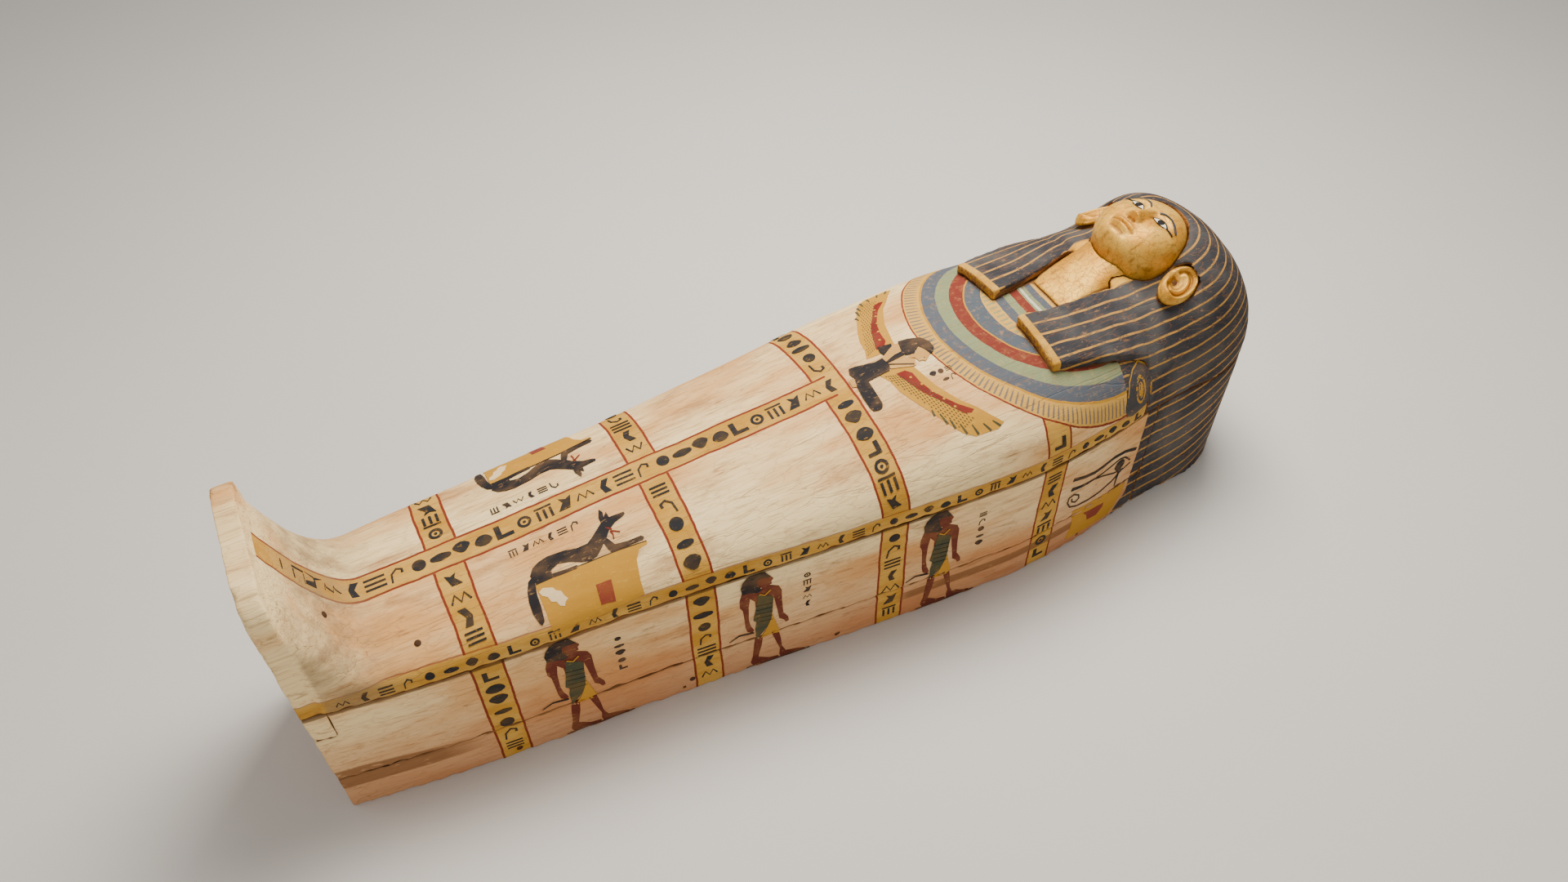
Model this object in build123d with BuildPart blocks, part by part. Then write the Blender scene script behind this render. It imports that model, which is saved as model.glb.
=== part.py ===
"""Painted wooden coffin in human form, lying on its back, in millimetres.

+X runs from the feet to the head, +Y is the right-hand side of the figure and
+Z is up. The origin is on the floor, under the middle of the length. The box
is built of planks. The lid, with its upright foot, wig and mask, lifts off.
"""

from build123d import *
from math import pi, sin
import os

# Overall sizes
box_depth = 288.0
wall = 36.0
floor_thickness = 32.0
seating_gap = 0.3
cut_margin = 1.0

# Plan of the case: how far each station lies from the foot end, and the half width there
toe_half_width = 148.0
ankle_station, ankle_half_width = 150.0, 169.0
calf_station, calf_half_width = 290.0, 183.0
knee_station, knee_half_width = 600.0, 204.0
hip_station, hip_half_width = 900.0, 231.0
elbow_station, elbow_half_width = 1150.0, 251.0
shoulder_station, shoulder_half_width = 1290.0, 257.0
collar_station, collar_half_width = 1440.0, 244.0
neck_station, neck_half_width = 1560.0, 223.0
temple_station, temple_half_width = 1700.0, 208.0
head_end_reach = 200.0
head_end_squareness = 2.5
length = temple_station + head_end_reach

# Height above the floor of the ridge along the lid, and how full the arch is below it
toe_crest, toe_fullness = 562.0, 0.86
ankle_crest, ankle_fullness = 361.0, 0.56
calf_crest, calf_fullness = 365.0, 0.56
knee_crest, knee_fullness = 389.0, 0.58
hip_crest, hip_fullness = 414.0, 0.62
elbow_crest, elbow_fullness = 444.0, 0.64
shoulder_crest, shoulder_fullness = 450.0, 0.66
collar_crest, collar_fullness = 451.0, 0.68
neck_crest, neck_fullness = 466.0, 0.60
wig_front_crest = 488.0
ear_station, ear_crest, ear_fullness = 1640.0, 500.0, 0.64
crown_reach, crown_crest, crown_fullness = 33.0, 552.0, 0.63
crown_station = temple_station + crown_reach
crown_squareness = 1.7
instep_hollow = 2.1
rim_height = 15.0

# How many slices each part of the lid is shaped from
foot_slices, body_slices, wig_slices, end_slices = 5, 15, 3, 8
foot_hollow_slices, lappet_slices, throat_slices = 4, 4, 3

# Foot of the lid, a board that stands up at the toes
foot_board_thickness = 36.0
foot_board_top = 570.0
foot_board_half_width = 145.0
foot_corner_radius = 54.0

# Box planks and the small block let into the top corner at the foot
lower_plank_height = 95.0
floor_plank_half_width = 62.0
head_joint_station = 1600.0
corner_block_length = 38.0
corner_block_height = 66.0

# Lid planks
centre_plank_half_width = 85.0
head_hollow_crest = 412.0

# Dowels and pegs
dowel_radius = 6.0
dowel_length = 84.0
short_dowel_length = 44.0
peg_radius = 4.0
peg_length = 34.0
fit_clearance = 0.05
end_cover = 1.0
wig_dowel_offsets = (42.5, 144.5)
toe_dowel_drop = 168.0

# Loose tenons between lid and box
tenon_length = 60.0
tenon_thickness = 9.0
tenon_above_seam = 24.0
tenon_below_seam = 42.0
mortise_clearance = 1.0
first_tenon_station, last_tenon_station = 330.0, 1450.0
tenons_per_side = 4

# Lappets of the wig, from their cut ends on the chest to the front of the wig
lappet_end_station = 1366.0
lappet_inner_end, lappet_outer_end = 36.0, 158.0
lappet_inner_neck, lappet_outer_neck = 62.0, 192.0
lappet_thickness = 22.0

# Mask, let into the wig, and the throat below it
mask_station = 1662.0
mask_half_length = 88.0
mask_half_width = 84.0
mask_seat_height = 452.0
mask_edge_height = 520.0
mask_top = 570.0
mask_slices = ((0.93, 0.55), (0.74, 0.86), (0.42, 1.0))
throat_fullness = 0.8
throat_station = 1462.0
throat_half_width = 66.0
throat_start_rise = 5.0
chin_height = 530.0
throat_underside = 422.0

# Features of the face: place from the middle of the mask, height of the centre, half length, radius
nose_ridge = (0.0, 567.0, 30.0, 9.0)
nose_tip = (-24.0, 570.0, 16.0, 12.0)
upper_lip = (-45.0, 564.0, 26.0, 8.0)
lower_lip = (-54.0, 561.5, 21.0, 8.0)
chin = (-72.0, 546.0, 26.0, 18.0)

# Ears
ear_offset = 119.0
ear_centre_station = 1668.0
ear_tilt = 18.0
ear_half_length, ear_half_width, ear_thickness = 50.0, 30.0, 15.0
ear_recess = 5.0
ear_rim = 9.0

seam = box_depth
rim_top = seam + rim_height
mid_wall = wall / 2


def at(station):
    """X of a place measured from the foot end."""
    return station - length / 2


def knot_slope(knots, i):
    """Slope of the curve at one of its knots, level where it turns or ends at the head."""
    if i == len(knots) - 1:
        return 0.0
    after = (knots[i + 1][1] - knots[i][1]) / (knots[i + 1][0] - knots[i][0])
    if i == 0:
        return after
    before = (knots[i][1] - knots[i - 1][1]) / (knots[i][0] - knots[i - 1][0])
    if before * after <= 0:
        return 0.0
    return 2 * before * after / (before + after)


def smooth(knots, station):
    """Value at a station on a smooth curve through the knots, which never overshoots them."""
    i = max(k for k in range(len(knots) - 1) if k == 0 or knots[k][0] <= station)
    span = knots[i + 1][0] - knots[i][0]
    t = (station - knots[i][0]) / span
    return (
        knots[i][1] * (1 + 2 * t) * (1 - t) ** 2
        + knots[i + 1][1] * t * t * (3 - 2 * t)
        + knot_slope(knots, i) * span * t * (1 - t) ** 2
        - knot_slope(knots, i + 1) * span * t * t * (1 - t)
    )


def rounded(t, squareness):
    """Height of a rounded end at the fraction t of its length, falling from 1 to 0."""
    return (1 - min(t, 1.0) ** squareness) ** (1 / squareness)


plan_knots = [
    (0.0, toe_half_width),
    (ankle_station, ankle_half_width),
    (calf_station, calf_half_width),
    (knee_station, knee_half_width),
    (hip_station, hip_half_width),
    (elbow_station, elbow_half_width),
    (shoulder_station, shoulder_half_width),
    (collar_station, collar_half_width),
    (neck_station, neck_half_width),
    (temple_station, temple_half_width),
]
ridge_knots = [
    (ankle_station, ankle_crest),
    (calf_station, calf_crest),
    (knee_station, knee_crest),
    (hip_station, hip_crest),
    (elbow_station, elbow_crest),
    (shoulder_station, shoulder_crest),
    (collar_station, collar_crest),
    (neck_station, neck_crest),
]
wig_ridge_knots = [
    (neck_station, wig_front_crest),
    (ear_station, ear_crest),
    (crown_station, crown_crest),
]
fullness_knots = [
    (foot_board_thickness, toe_fullness),
    (ankle_station, ankle_fullness),
    (calf_station, calf_fullness),
    (knee_station, knee_fullness),
    (hip_station, hip_fullness),
    (elbow_station, elbow_fullness),
    (shoulder_station, shoulder_fullness),
    (collar_station, collar_fullness),
    (neck_station, neck_fullness),
    (ear_station, ear_fullness),
    (crown_station, crown_fullness),
]


def half_width(station, inset=0.0):
    """Half width of the plan at a station, drawn in by the inset."""
    if station <= temple_station:
        return smooth(plan_knots, station) - inset
    t = (station - temple_station) / (length - inset - temple_station)
    return (temple_half_width - inset) * rounded(t, head_end_squareness)


def foot_crest(station):
    """Ridge height on the hollow slope from the toes down to the ankles."""
    t = (ankle_station - station) / (ankle_station - foot_board_thickness)
    return ankle_crest + (toe_crest - ankle_crest) * max(t, 0.0) ** instep_hollow


def body_crest(station):
    """Ridge height of the lid from the ankles to the neck."""
    return smooth(ridge_knots, station)


def wig_crest(station, inset=0.0):
    """Ridge height of the wig, which rounds down to the rim at the head end."""
    if station <= crown_station:
        return smooth(wig_ridge_knots, station) - inset
    t = (station - crown_station) / (length - inset - crown_station)
    return rim_top + (crown_crest - inset - rim_top) * rounded(t, crown_squareness)


def fullness(station):
    """How square the arch of the lid is at a station."""
    return smooth(fullness_knots, min(station, crown_station))


def spread(start, end, steps):
    """Evenly spaced stations, both ends included."""
    return [start + (end - start) * i / steps for i in range(steps + 1)]


def head_end(inset=0.0):
    """Stations from the temple to the head end, closer together as the end rounds off."""
    reach = length - inset - temple_station
    return [temple_station + reach * sin(pi / 2 * i / end_slices) for i in range(1, end_slices)]


foot_stations = spread(foot_board_thickness, ankle_station, foot_slices)
body_stations = spread(ankle_station, neck_station, body_slices)
wig_stations = spread(neck_station, temple_station, wig_slices)


def plan_outline(inset):
    """The outline of the case seen from above, drawn in by the inset."""
    stations = body_stations + wig_stations[1:] + head_end(inset)
    side = [(at(inset), half_width(inset, inset))]
    side += [(at(s), half_width(s, inset)) for s in stations]
    end = (at(length - inset), 0)
    with BuildSketch() as outline:
        with BuildLine():
            Line((at(inset), 0), side[0])
            Spline(side + [end], tangents=[(1, knot_slope(plan_knots, 0)), (0, -1)])
            Line(end, (at(inset), 0))
        make_face()
        mirror(about=Plane.XZ)
    return outline.sketch


def arch(station, half, crest, full, foot=seam, rim=rim_top):
    """A cross section of the lid: an upright rim each side, and one arch over them."""
    rise = crest - rim
    with BuildSketch(Plane((at(station), 0, 0), x_dir=(0, 1, 0), z_dir=(1, 0, 0))) as section:
        with BuildLine():
            Polyline((-half, rim), (-half, foot), (half, foot), (half, rim))
            for side in (1, -1):
                shoulder = (side * half, rim + full * rise)
                Bezier((side * half, rim), shoulder, (side * full * half, crest), (0, crest))
        make_face()
    return section.sketch


def arch_height(station, crest, offset):
    """Height of the outside of the lid above a point off the centre line."""
    half, full = half_width(station), fullness(station)
    low, high = 0.0, 1.0
    for _ in range(30):
        t = (low + high) / 2
        y = half * (1 - t) ** 2 * (1 + 2 * t) + 3 * full * half * (1 - t) * t * t
        low, high = (t, high) if y > offset else (low, t)
    lift = 3 * full * (1 - t) ** 2 * t + 3 * (1 - t) * t * t + t**3
    return rim_top + (crest - rim_top) * lift


def slab(x_range, y_range, z_range):
    """A square-cornered block between two ends each way."""
    with BuildPart() as block:
        with Locations((sum(x_range) / 2, sum(y_range) / 2, sum(z_range) / 2)):
            Box(*(max(r) - min(r) for r in (x_range, y_range, z_range)))
    return block.part


def prism(sketch, start, end):
    """A flat outline made solid from one height to another."""
    with BuildPart(Plane.XY.offset(start)) as block:
        add(sketch)
        extrude(amount=end - start)
    return block.part


def rods(planes, radius, long):
    """Separate round rods, each centred on its plane and square to it."""
    with BuildPart() as group:
        with Locations(*planes):
            Cylinder(radius, long)
    return group.part


# Outer forms of the lid, which its pieces are cut from
with BuildPart() as body_form:
    loft(sections=[arch(s, half_width(s), body_crest(s), fullness(s)) for s in body_stations])
with BuildPart() as foot_form:
    loft(sections=[arch(s, half_width(s), foot_crest(s), fullness(s)) for s in foot_stations])
with BuildPart() as wig_form:
    loft(sections=[arch(s, half_width(s), wig_crest(s), fullness(s)) for s in wig_stations + head_end()])

# Hollows under the lid, open below, each as long as the form that it hollows
hollow_foot = seam - cut_margin
hollow_rim = seam + rim_height / 2
toe_hollow_stations = spread(foot_board_thickness + wall, ankle_station, foot_hollow_slices)
with BuildPart() as body_hollow:
    loft(
        sections=[
            arch(s, half_width(s) - wall, body_crest(s) - wall, fullness(s), hollow_foot, hollow_rim)
            for s in body_stations
        ]
    )
with BuildPart() as foot_hollow:
    loft(
        sections=[
            arch(s, half_width(s) - wall, foot_crest(s) - wall, fullness(s), hollow_foot, hollow_rim)
            for s in toe_hollow_stations
        ]
    )
with BuildPart() as wig_hollow:
    loft(
        sections=[
            arch(
                s,
                half_width(s, wall),
                min(wig_crest(s, wall), head_hollow_crest),
                fullness(s),
                hollow_foot,
                hollow_rim,
            )
            for s in wig_stations + head_end(wall)
        ]
    )

# Where the tenons stand along each side, and the round dowels between planks
tenon_stations = spread(first_tenon_station, last_tenon_station, tenons_per_side - 1)
plank_stations = [calf_station, knee_station, hip_station, elbow_station, collar_station]
sides = (("left", -1), ("right", 1))
dowel_hole = dowel_radius + fit_clearance
peg_hole = peg_radius + fit_clearance
floor_middle = floor_thickness / 2


def mid_side(station):
    """Distance of the middle of a side wall from the centre line."""
    return half_width(station) - mid_wall


def upright(station, y, z):
    """A plane square to the upright line through a point."""
    return Plane((at(station), y, z), z_dir=(0, 0, 1))


def across(station, y, z):
    """A plane square to the line that crosses the case at a point."""
    return Plane((at(station), y, z), z_dir=(0, 1, 0))


def lengthwise(station, y, z):
    """A plane square to the line that runs along the case at a point."""
    return Plane((at(station), y, z), z_dir=(1, 0, 0))


def lid_plane(station, crest, y, sink, outward):
    """Plane at or under the outside of the lid, its z axis square to the arch or along it."""
    side = 1 if y > 0 else -1
    height = arch_height(station, crest, abs(y))
    fall = height - arch_height(station, crest, abs(y) + 1)
    direction = (0, side * fall, 1) if outward else (0, side, -fall)
    return Plane((at(station), y, height - sink), x_dir=(1, 0, 0), z_dir=direction)


floor_dowel_spots = [
    across(s, side * floor_plank_half_width, floor_middle) for s in plank_stations for _, side in sides
]
side_floor_spots = [
    across(s, side * (half_width(s) - end_cover - dowel_length / 2), floor_middle)
    for s in plank_stations
    for _, side in sides
]
side_plank_spots = [
    upright(s, side * mid_side(s), lower_plank_height) for s in plank_stations for _, side in sides
]
head_joint_heights = (
    floor_thickness + dowel_length / 4,
    lower_plank_height + dowel_length / 2,
    seam - dowel_length / 2,
)
head_side_spots = [
    lengthwise(head_joint_station, side * mid_side(head_joint_station), z)
    for z in head_joint_heights
    for _, side in sides
]
head_middle_spots = [across(length - mid_wall, 0, z) for z in head_joint_heights]
foot_board_edge = toe_half_width - wall
foot_board_spots = [
    across(mid_wall, side * (toe_half_width - 2 * end_cover - dowel_length / 2), z)
    for z in head_joint_heights[:2]
    for _, side in sides
]
lid_plank_spots = [
    lid_plane(s, body_crest(s), side * centre_plank_half_width, mid_wall, outward=False)
    for s in plank_stations
    for _, side in sides
]
ankle_spots = [
    lengthwise(ankle_station, side * centre_plank_half_width / 2, ankle_crest - mid_wall - peg_radius)
    for _, side in sides
]
toe_spots = [
    lengthwise(foot_board_thickness, side * centre_plank_half_width / 2, z)
    for z in (ankle_crest, toe_crest - toe_dowel_drop)
    for _, side in sides
]
wig_spots = [
    lengthwise(neck_station, side * y, arch_height(neck_station, neck_crest, y) - mid_wall)
    for y in wig_dowel_offsets
    for _, side in sides
]
tenon_peg_spots = [
    across(s, side * (half_width(s) - end_cover - peg_length / 2), seam + tenon_above_seam / 2)
    for s in tenon_stations
    for _, side in sides
]
mask_peg_spots = [
    upright(mask_station + end * mask_half_length / 2, 0, mask_seat_height) for end in (-1, 1)
]
lappet_peg_spots = [
    lid_plane(s, body_crest(s), side * y, 0, outward=True)
    for s, y in (
        (lappet_end_station + peg_length, (lappet_inner_end + lappet_outer_end) / 2),
        (neck_station - 2 * peg_length, (lappet_inner_neck + lappet_outer_neck) / 2),
    )
    for _, side in sides
]
ear_planes = {
    name: lid_plane(ear_centre_station, wig_crest(ear_centre_station), side * ear_offset, 0, outward=True)
    for name, side in sides
}
ear_turn = {"left": 1, "right": -1}


def ear_outline(name, inset):
    """The outline of one ear on the side of the wig."""
    with BuildSketch(ear_planes[name]) as outline:
        Ellipse(ear_half_length - inset, ear_half_width - inset, rotation=ear_tilt * ear_turn[name])
    return outline.sketch


def mask_oval(gap):
    """The oval of the mask seen from above, drawn in by a gap."""
    with BuildSketch() as oval:
        with Locations((at(mask_station), 0)):
            Ellipse(mask_half_length - gap, mask_half_width - gap)
    return oval.sketch


# Whole box, as one shell, that its planks are cut from
with BuildPart() as box_wall:
    add(prism(plan_outline(0), 0, seam))
    add(prism(plan_outline(wall), -cut_margin, seam + cut_margin), mode=Mode.SUBTRACT)

os.makedirs("parts", exist_ok=True)


def keep(piece, name):
    """Name a finished piece and write it out."""
    piece.label = name
    export_step(piece, f"parts/{name}.step")


# Floor of three planks
floor_edges = (-length, -floor_plank_half_width, floor_plank_half_width, length)
for i, name in enumerate(("floor_plank_left", "floor_plank_centre", "floor_plank_right")):
    with BuildPart() as floor_plank:
        add(prism(plan_outline(wall + seating_gap), 0, floor_thickness))
        add(slab((-length, length), floor_edges[i : i + 2], (0, floor_thickness)), mode=Mode.INTERSECT)
        add(rods(floor_dowel_spots, dowel_hole, short_dowel_length), mode=Mode.SUBTRACT)
        add(rods(side_floor_spots, dowel_hole, dowel_length), mode=Mode.SUBTRACT)
    keep(floor_plank.part, name)

# Sides of the box, a low and a high plank each, with the foot board between them
for name, side in sides:
    side_reach = (0, side * length)
    board_reach = (0, side * foot_board_edge)
    with BuildPart() as side_lower:
        add(box_wall.part)
        add(
            slab((at(0), at(head_joint_station)), side_reach, (0, lower_plank_height)), mode=Mode.INTERSECT
        )
        add(slab((at(0), at(wall)), board_reach, (0, seam)), mode=Mode.SUBTRACT)
        add(rods(side_floor_spots, dowel_hole, dowel_length), mode=Mode.SUBTRACT)
        add(rods(side_plank_spots, dowel_hole, dowel_length), mode=Mode.SUBTRACT)
        add(rods(head_side_spots, dowel_hole, dowel_length), mode=Mode.SUBTRACT)
        add(rods(foot_board_spots, dowel_hole, dowel_length), mode=Mode.SUBTRACT)
    keep(side_lower.part, f"side_lower_{name}")

    with BuildPart() as side_upper:
        add(box_wall.part)
        add(
            slab((at(0), at(head_joint_station)), side_reach, (lower_plank_height, seam)),
            mode=Mode.INTERSECT,
        )
        add(slab((at(0), at(wall)), board_reach, (0, seam)), mode=Mode.SUBTRACT)
        add(rods(side_plank_spots, dowel_hole, dowel_length), mode=Mode.SUBTRACT)
        add(rods(head_side_spots, dowel_hole, dowel_length), mode=Mode.SUBTRACT)
        add(rods(foot_board_spots, dowel_hole, dowel_length), mode=Mode.SUBTRACT)
        for station in tenon_stations:
            with Locations((at(station), side * mid_side(station), seam)):
                Box(
                    tenon_length + 2 * mortise_clearance,
                    tenon_thickness + 2 * mortise_clearance,
                    2 * (tenon_below_seam + mortise_clearance),
                    mode=Mode.SUBTRACT,
                )
        if name == "left":
            add(
                slab((at(0), at(corner_block_length)), side_reach, (seam - corner_block_height, seam)),
                mode=Mode.SUBTRACT,
            )
    keep(side_upper.part, f"side_upper_{name}")

corner_ends = (at(0), at(corner_block_length))
corner_heights = (seam - corner_block_height, seam)
with BuildPart() as corner_block:
    add(box_wall.part)
    add(slab(corner_ends, (-length, -foot_board_edge), corner_heights), mode=Mode.INTERSECT)
keep(corner_block.part, "corner_block_left")

with BuildPart() as box_foot_board:
    add(slab((at(0), at(wall)), (-foot_board_edge, foot_board_edge), (0, seam)))
    add(rods(foot_board_spots, dowel_hole, dowel_length), mode=Mode.SUBTRACT)
keep(box_foot_board.part, "box_foot_board")

# Head end of the box, in two halves
for name, side in sides:
    with BuildPart() as head_wall:
        add(box_wall.part)
        add(slab((at(head_joint_station), at(length)), (0, side * length), (0, seam)), mode=Mode.INTERSECT)
        add(rods(head_side_spots, dowel_hole, dowel_length), mode=Mode.SUBTRACT)
        add(rods(head_middle_spots, dowel_hole, dowel_length), mode=Mode.SUBTRACT)
    keep(head_wall.part, f"head_wall_{name}")

# Body of the lid, of three long planks
lid_edges = (-length, -centre_plank_half_width, centre_plank_half_width, length)
for i, name in enumerate(("lid_plank_left", "lid_plank_centre", "lid_plank_right")):
    with BuildPart() as lid_plank:
        add(body_form.part)
        add(body_hollow.part, mode=Mode.SUBTRACT)
        add(slab((-length, length), lid_edges[i : i + 2], (seam, foot_board_top)), mode=Mode.INTERSECT)
        for station in tenon_stations:
            for _, side in sides:
                with Locations((at(station), side * mid_side(station), seam)):
                    Box(tenon_length, tenon_thickness, 2 * tenon_above_seam, mode=Mode.SUBTRACT)
        add(rods(lid_plank_spots, dowel_hole, short_dowel_length), mode=Mode.SUBTRACT)
        add(rods(ankle_spots + wig_spots, dowel_hole, short_dowel_length), mode=Mode.SUBTRACT)
        add(rods(tenon_peg_spots, peg_hole, peg_length), mode=Mode.SUBTRACT)
        add(rods(lappet_peg_spots, peg_hole, peg_length), mode=Mode.SUBTRACT)
    keep(lid_plank.part, name)

# Foot of the lid: a hollowed wedge, and the board that stands at the toes
with BuildPart() as lid_foot_wedge:
    add(foot_form.part)
    add(foot_hollow.part, mode=Mode.SUBTRACT)
    add(rods(ankle_spots, dowel_hole, short_dowel_length), mode=Mode.SUBTRACT)
    add(rods(toe_spots, dowel_hole, short_dowel_length), mode=Mode.SUBTRACT)
keep(lid_foot_wedge.part, "lid_foot_wedge")

with BuildPart() as lid_foot_board:
    with BuildSketch(Plane((at(0), 0, 0), x_dir=(0, 1, 0), z_dir=(1, 0, 0))) as board:
        with BuildLine():
            Polyline(
                (-toe_half_width, seam),
                (toe_half_width, seam),
                (foot_board_half_width, (seam + foot_board_top) / 2),
                (foot_board_half_width - seating_gap, foot_board_top),
                (seating_gap - foot_board_half_width, foot_board_top),
                (-foot_board_half_width, (seam + foot_board_top) / 2),
                close=True,
            )
        make_face()
        fillet(board.vertices().group_by(Axis.Y)[-1], foot_corner_radius)
    extrude(amount=foot_board_thickness)
    add(rods(toe_spots, dowel_hole, short_dowel_length), mode=Mode.SUBTRACT)
keep(lid_foot_board.part, "lid_foot_board")

# Wig, with recesses for the mask and the ears
with BuildPart() as wig_block:
    add(wig_form.part)
    add(wig_hollow.part, mode=Mode.SUBTRACT)
    add(prism(mask_oval(0), mask_seat_height, 2 * mask_top), mode=Mode.SUBTRACT)
    for name in ear_planes:
        extrude(ear_outline(name, 0), amount=-ear_recess, mode=Mode.SUBTRACT)
        extrude(ear_outline(name, 0), amount=ear_thickness, mode=Mode.SUBTRACT)
    add(rods(wig_spots, dowel_hole, short_dowel_length), mode=Mode.SUBTRACT)
    add(rods(mask_peg_spots, peg_hole, peg_length), mode=Mode.SUBTRACT)
    add(rods(ear_planes.values(), peg_hole, peg_length), mode=Mode.SUBTRACT)
keep(wig_block.part, "wig_block")

# Lappets, which lie on the lid from the front of the wig down to the chest
lappet_stations = spread(lappet_end_station, neck_station, lappet_slices)
with BuildPart() as lappet_cover:
    loft(
        sections=[
            arch(
                s,
                half_width(s) + lappet_thickness / 2,
                body_crest(s) + lappet_thickness,
                fullness(s),
            )
            for s in lappet_stations
        ]
    )


def lappet_prism(side):
    """The outline of one lappet seen from above, made solid through the lid."""
    with BuildSketch() as outline:
        with BuildLine():
            Polyline(
                (at(lappet_end_station), side * lappet_inner_end),
                (at(lappet_end_station), side * lappet_outer_end),
                (at(neck_station), side * lappet_outer_neck),
                (at(neck_station), side * lappet_inner_neck),
                close=True,
            )
        make_face()
    return prism(outline.sketch, seam, 2 * mask_top)


for name, side in sides:
    with BuildPart() as lappet:
        add(lappet_cover.part)
        add(lappet_prism(side), mode=Mode.INTERSECT)
        add(body_form.part, mode=Mode.SUBTRACT)
        add(rods(lappet_peg_spots, peg_hole, peg_length), mode=Mode.SUBTRACT)
    keep(lappet.part, f"lappet_{name}")

# Throat, from the top of the collar up to the chin
throat_stations = spread(throat_station, mask_station - mask_half_length / 2, throat_slices)
throat_crests = spread(body_crest(throat_station) + throat_start_rise, chin_height, throat_slices)
with BuildPart() as throat:
    loft(
        sections=[
            arch(s, throat_half_width, crest, throat_fullness, hollow_rim, throat_underside)
            for s, crest in zip(throat_stations, throat_crests)
        ]
    )
    add(body_form.part, mode=Mode.SUBTRACT)
    add(wig_form.part, mode=Mode.SUBTRACT)
    add(prism(mask_oval(-seating_gap), seam, 2 * mask_top), mode=Mode.SUBTRACT)
    for _, side in sides:
        add(lappet_prism(side), mode=Mode.SUBTRACT)
keep(throat.part, "throat")


def egg(plane, half_long, radius):
    """A solid egg shape, as round as the radius, that lies along the x direction of its plane."""
    with BuildPart() as shape:
        with BuildSketch(plane):
            Ellipse(half_long, radius)
            with Locations((0, -radius)):
                Rectangle(2 * half_long, 2 * radius, mode=Mode.SUBTRACT)
        revolve(axis=Axis(plane.origin, plane.x_dir))
    return shape.part


def on_face(feature, direction):
    """The solid for one feature of the face, which lies along or across the case."""
    offset, height, half_long, radius = feature
    plane = Plane((at(mask_station + offset), 0, height), x_dir=direction, z_dir=(0, 0, 1))
    return egg(plane, half_long, radius)


# Mask, a domed oval with a nose, lips and chin of plain even proportions
with BuildPart() as mask:
    add(prism(mask_oval(seating_gap), mask_seat_height, mask_edge_height))
    with BuildSketch(Plane.XY.offset(mask_edge_height)):
        add(mask_oval(seating_gap))
    for share, rise in mask_slices:
        with BuildSketch(Plane.XY.offset(mask_edge_height + rise * (mask_top - mask_edge_height))):
            with Locations((at(mask_station), 0)):
                Ellipse(share * mask_half_length, share * mask_half_width)
    loft()
    for feature in (nose_ridge, nose_tip):
        add(on_face(feature, (1, 0, 0)))
    for feature in (upper_lip, lower_lip, chin):
        add(on_face(feature, (0, 1, 0)))
    add(prism(mask_oval(seating_gap), mask_seat_height, 2 * mask_top), mode=Mode.INTERSECT)
    add(rods(mask_peg_spots, peg_hole, peg_length), mode=Mode.SUBTRACT)
keep(mask.part, "mask")

# Ears
for name in ear_planes:
    with BuildPart() as ear:
        extrude(ear_outline(name, seating_gap), amount=-ear_recess)
        extrude(ear_outline(name, seating_gap), amount=ear_thickness - ear_recess)
        extrude(ear_outline(name, ear_rim), amount=ear_thickness, mode=Mode.SUBTRACT)
    keep(ear.part, f"ear_{name}")

# Tenons of the lid, one solid each
tenon_middle = seam + (tenon_above_seam - tenon_below_seam) / 2
with BuildPart() as tenons:
    for station in tenon_stations:
        for _, side in sides:
            with Locations((at(station), side * mid_side(station), tenon_middle)):
                Box(tenon_length, tenon_thickness, tenon_above_seam + tenon_below_seam)
    add(rods(tenon_peg_spots, peg_hole, peg_length), mode=Mode.SUBTRACT)
keep(tenons.part, "tenons")

# Round dowels and pegs, one node for each job
for name, planes, radius, long in (
    ("floor_dowels", floor_dowel_spots, dowel_radius, short_dowel_length),
    ("side_floor_dowels", side_floor_spots, dowel_radius, dowel_length),
    ("side_plank_dowels", side_plank_spots, dowel_radius, dowel_length),
    ("head_side_dowels", head_side_spots, dowel_radius, dowel_length),
    ("head_middle_dowels", head_middle_spots, dowel_radius, dowel_length),
    ("foot_board_dowels", foot_board_spots, dowel_radius, dowel_length),
    ("lid_plank_dowels", lid_plank_spots, dowel_radius, short_dowel_length),
    ("lid_foot_dowels", ankle_spots + toe_spots, dowel_radius, short_dowel_length),
    ("wig_dowels", wig_spots, dowel_radius, short_dowel_length),
    ("tenon_pegs", tenon_peg_spots, peg_radius, peg_length),
    ("mask_pegs", mask_peg_spots, peg_radius, peg_length),
    ("lappet_pegs", lappet_peg_spots, peg_radius, peg_length),
):
    keep(rods(planes, radius, long), name)
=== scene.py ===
# %% [markdown]
# A painted wooden coffin in human form lies on its back: a box of planks under a lid that is
# carved into a body, a wig and a face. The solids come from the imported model. This script gives
# them their looks: hewn wood, plaster, paint, gilding, and what the painter drew on them.

from math import atan2, cos, hypot, pi, sin, sqrt

import bmesh
import bpy
from mathutils import Matrix, Vector, noise
from mathutils.bvhtree import BVHTree


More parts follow.
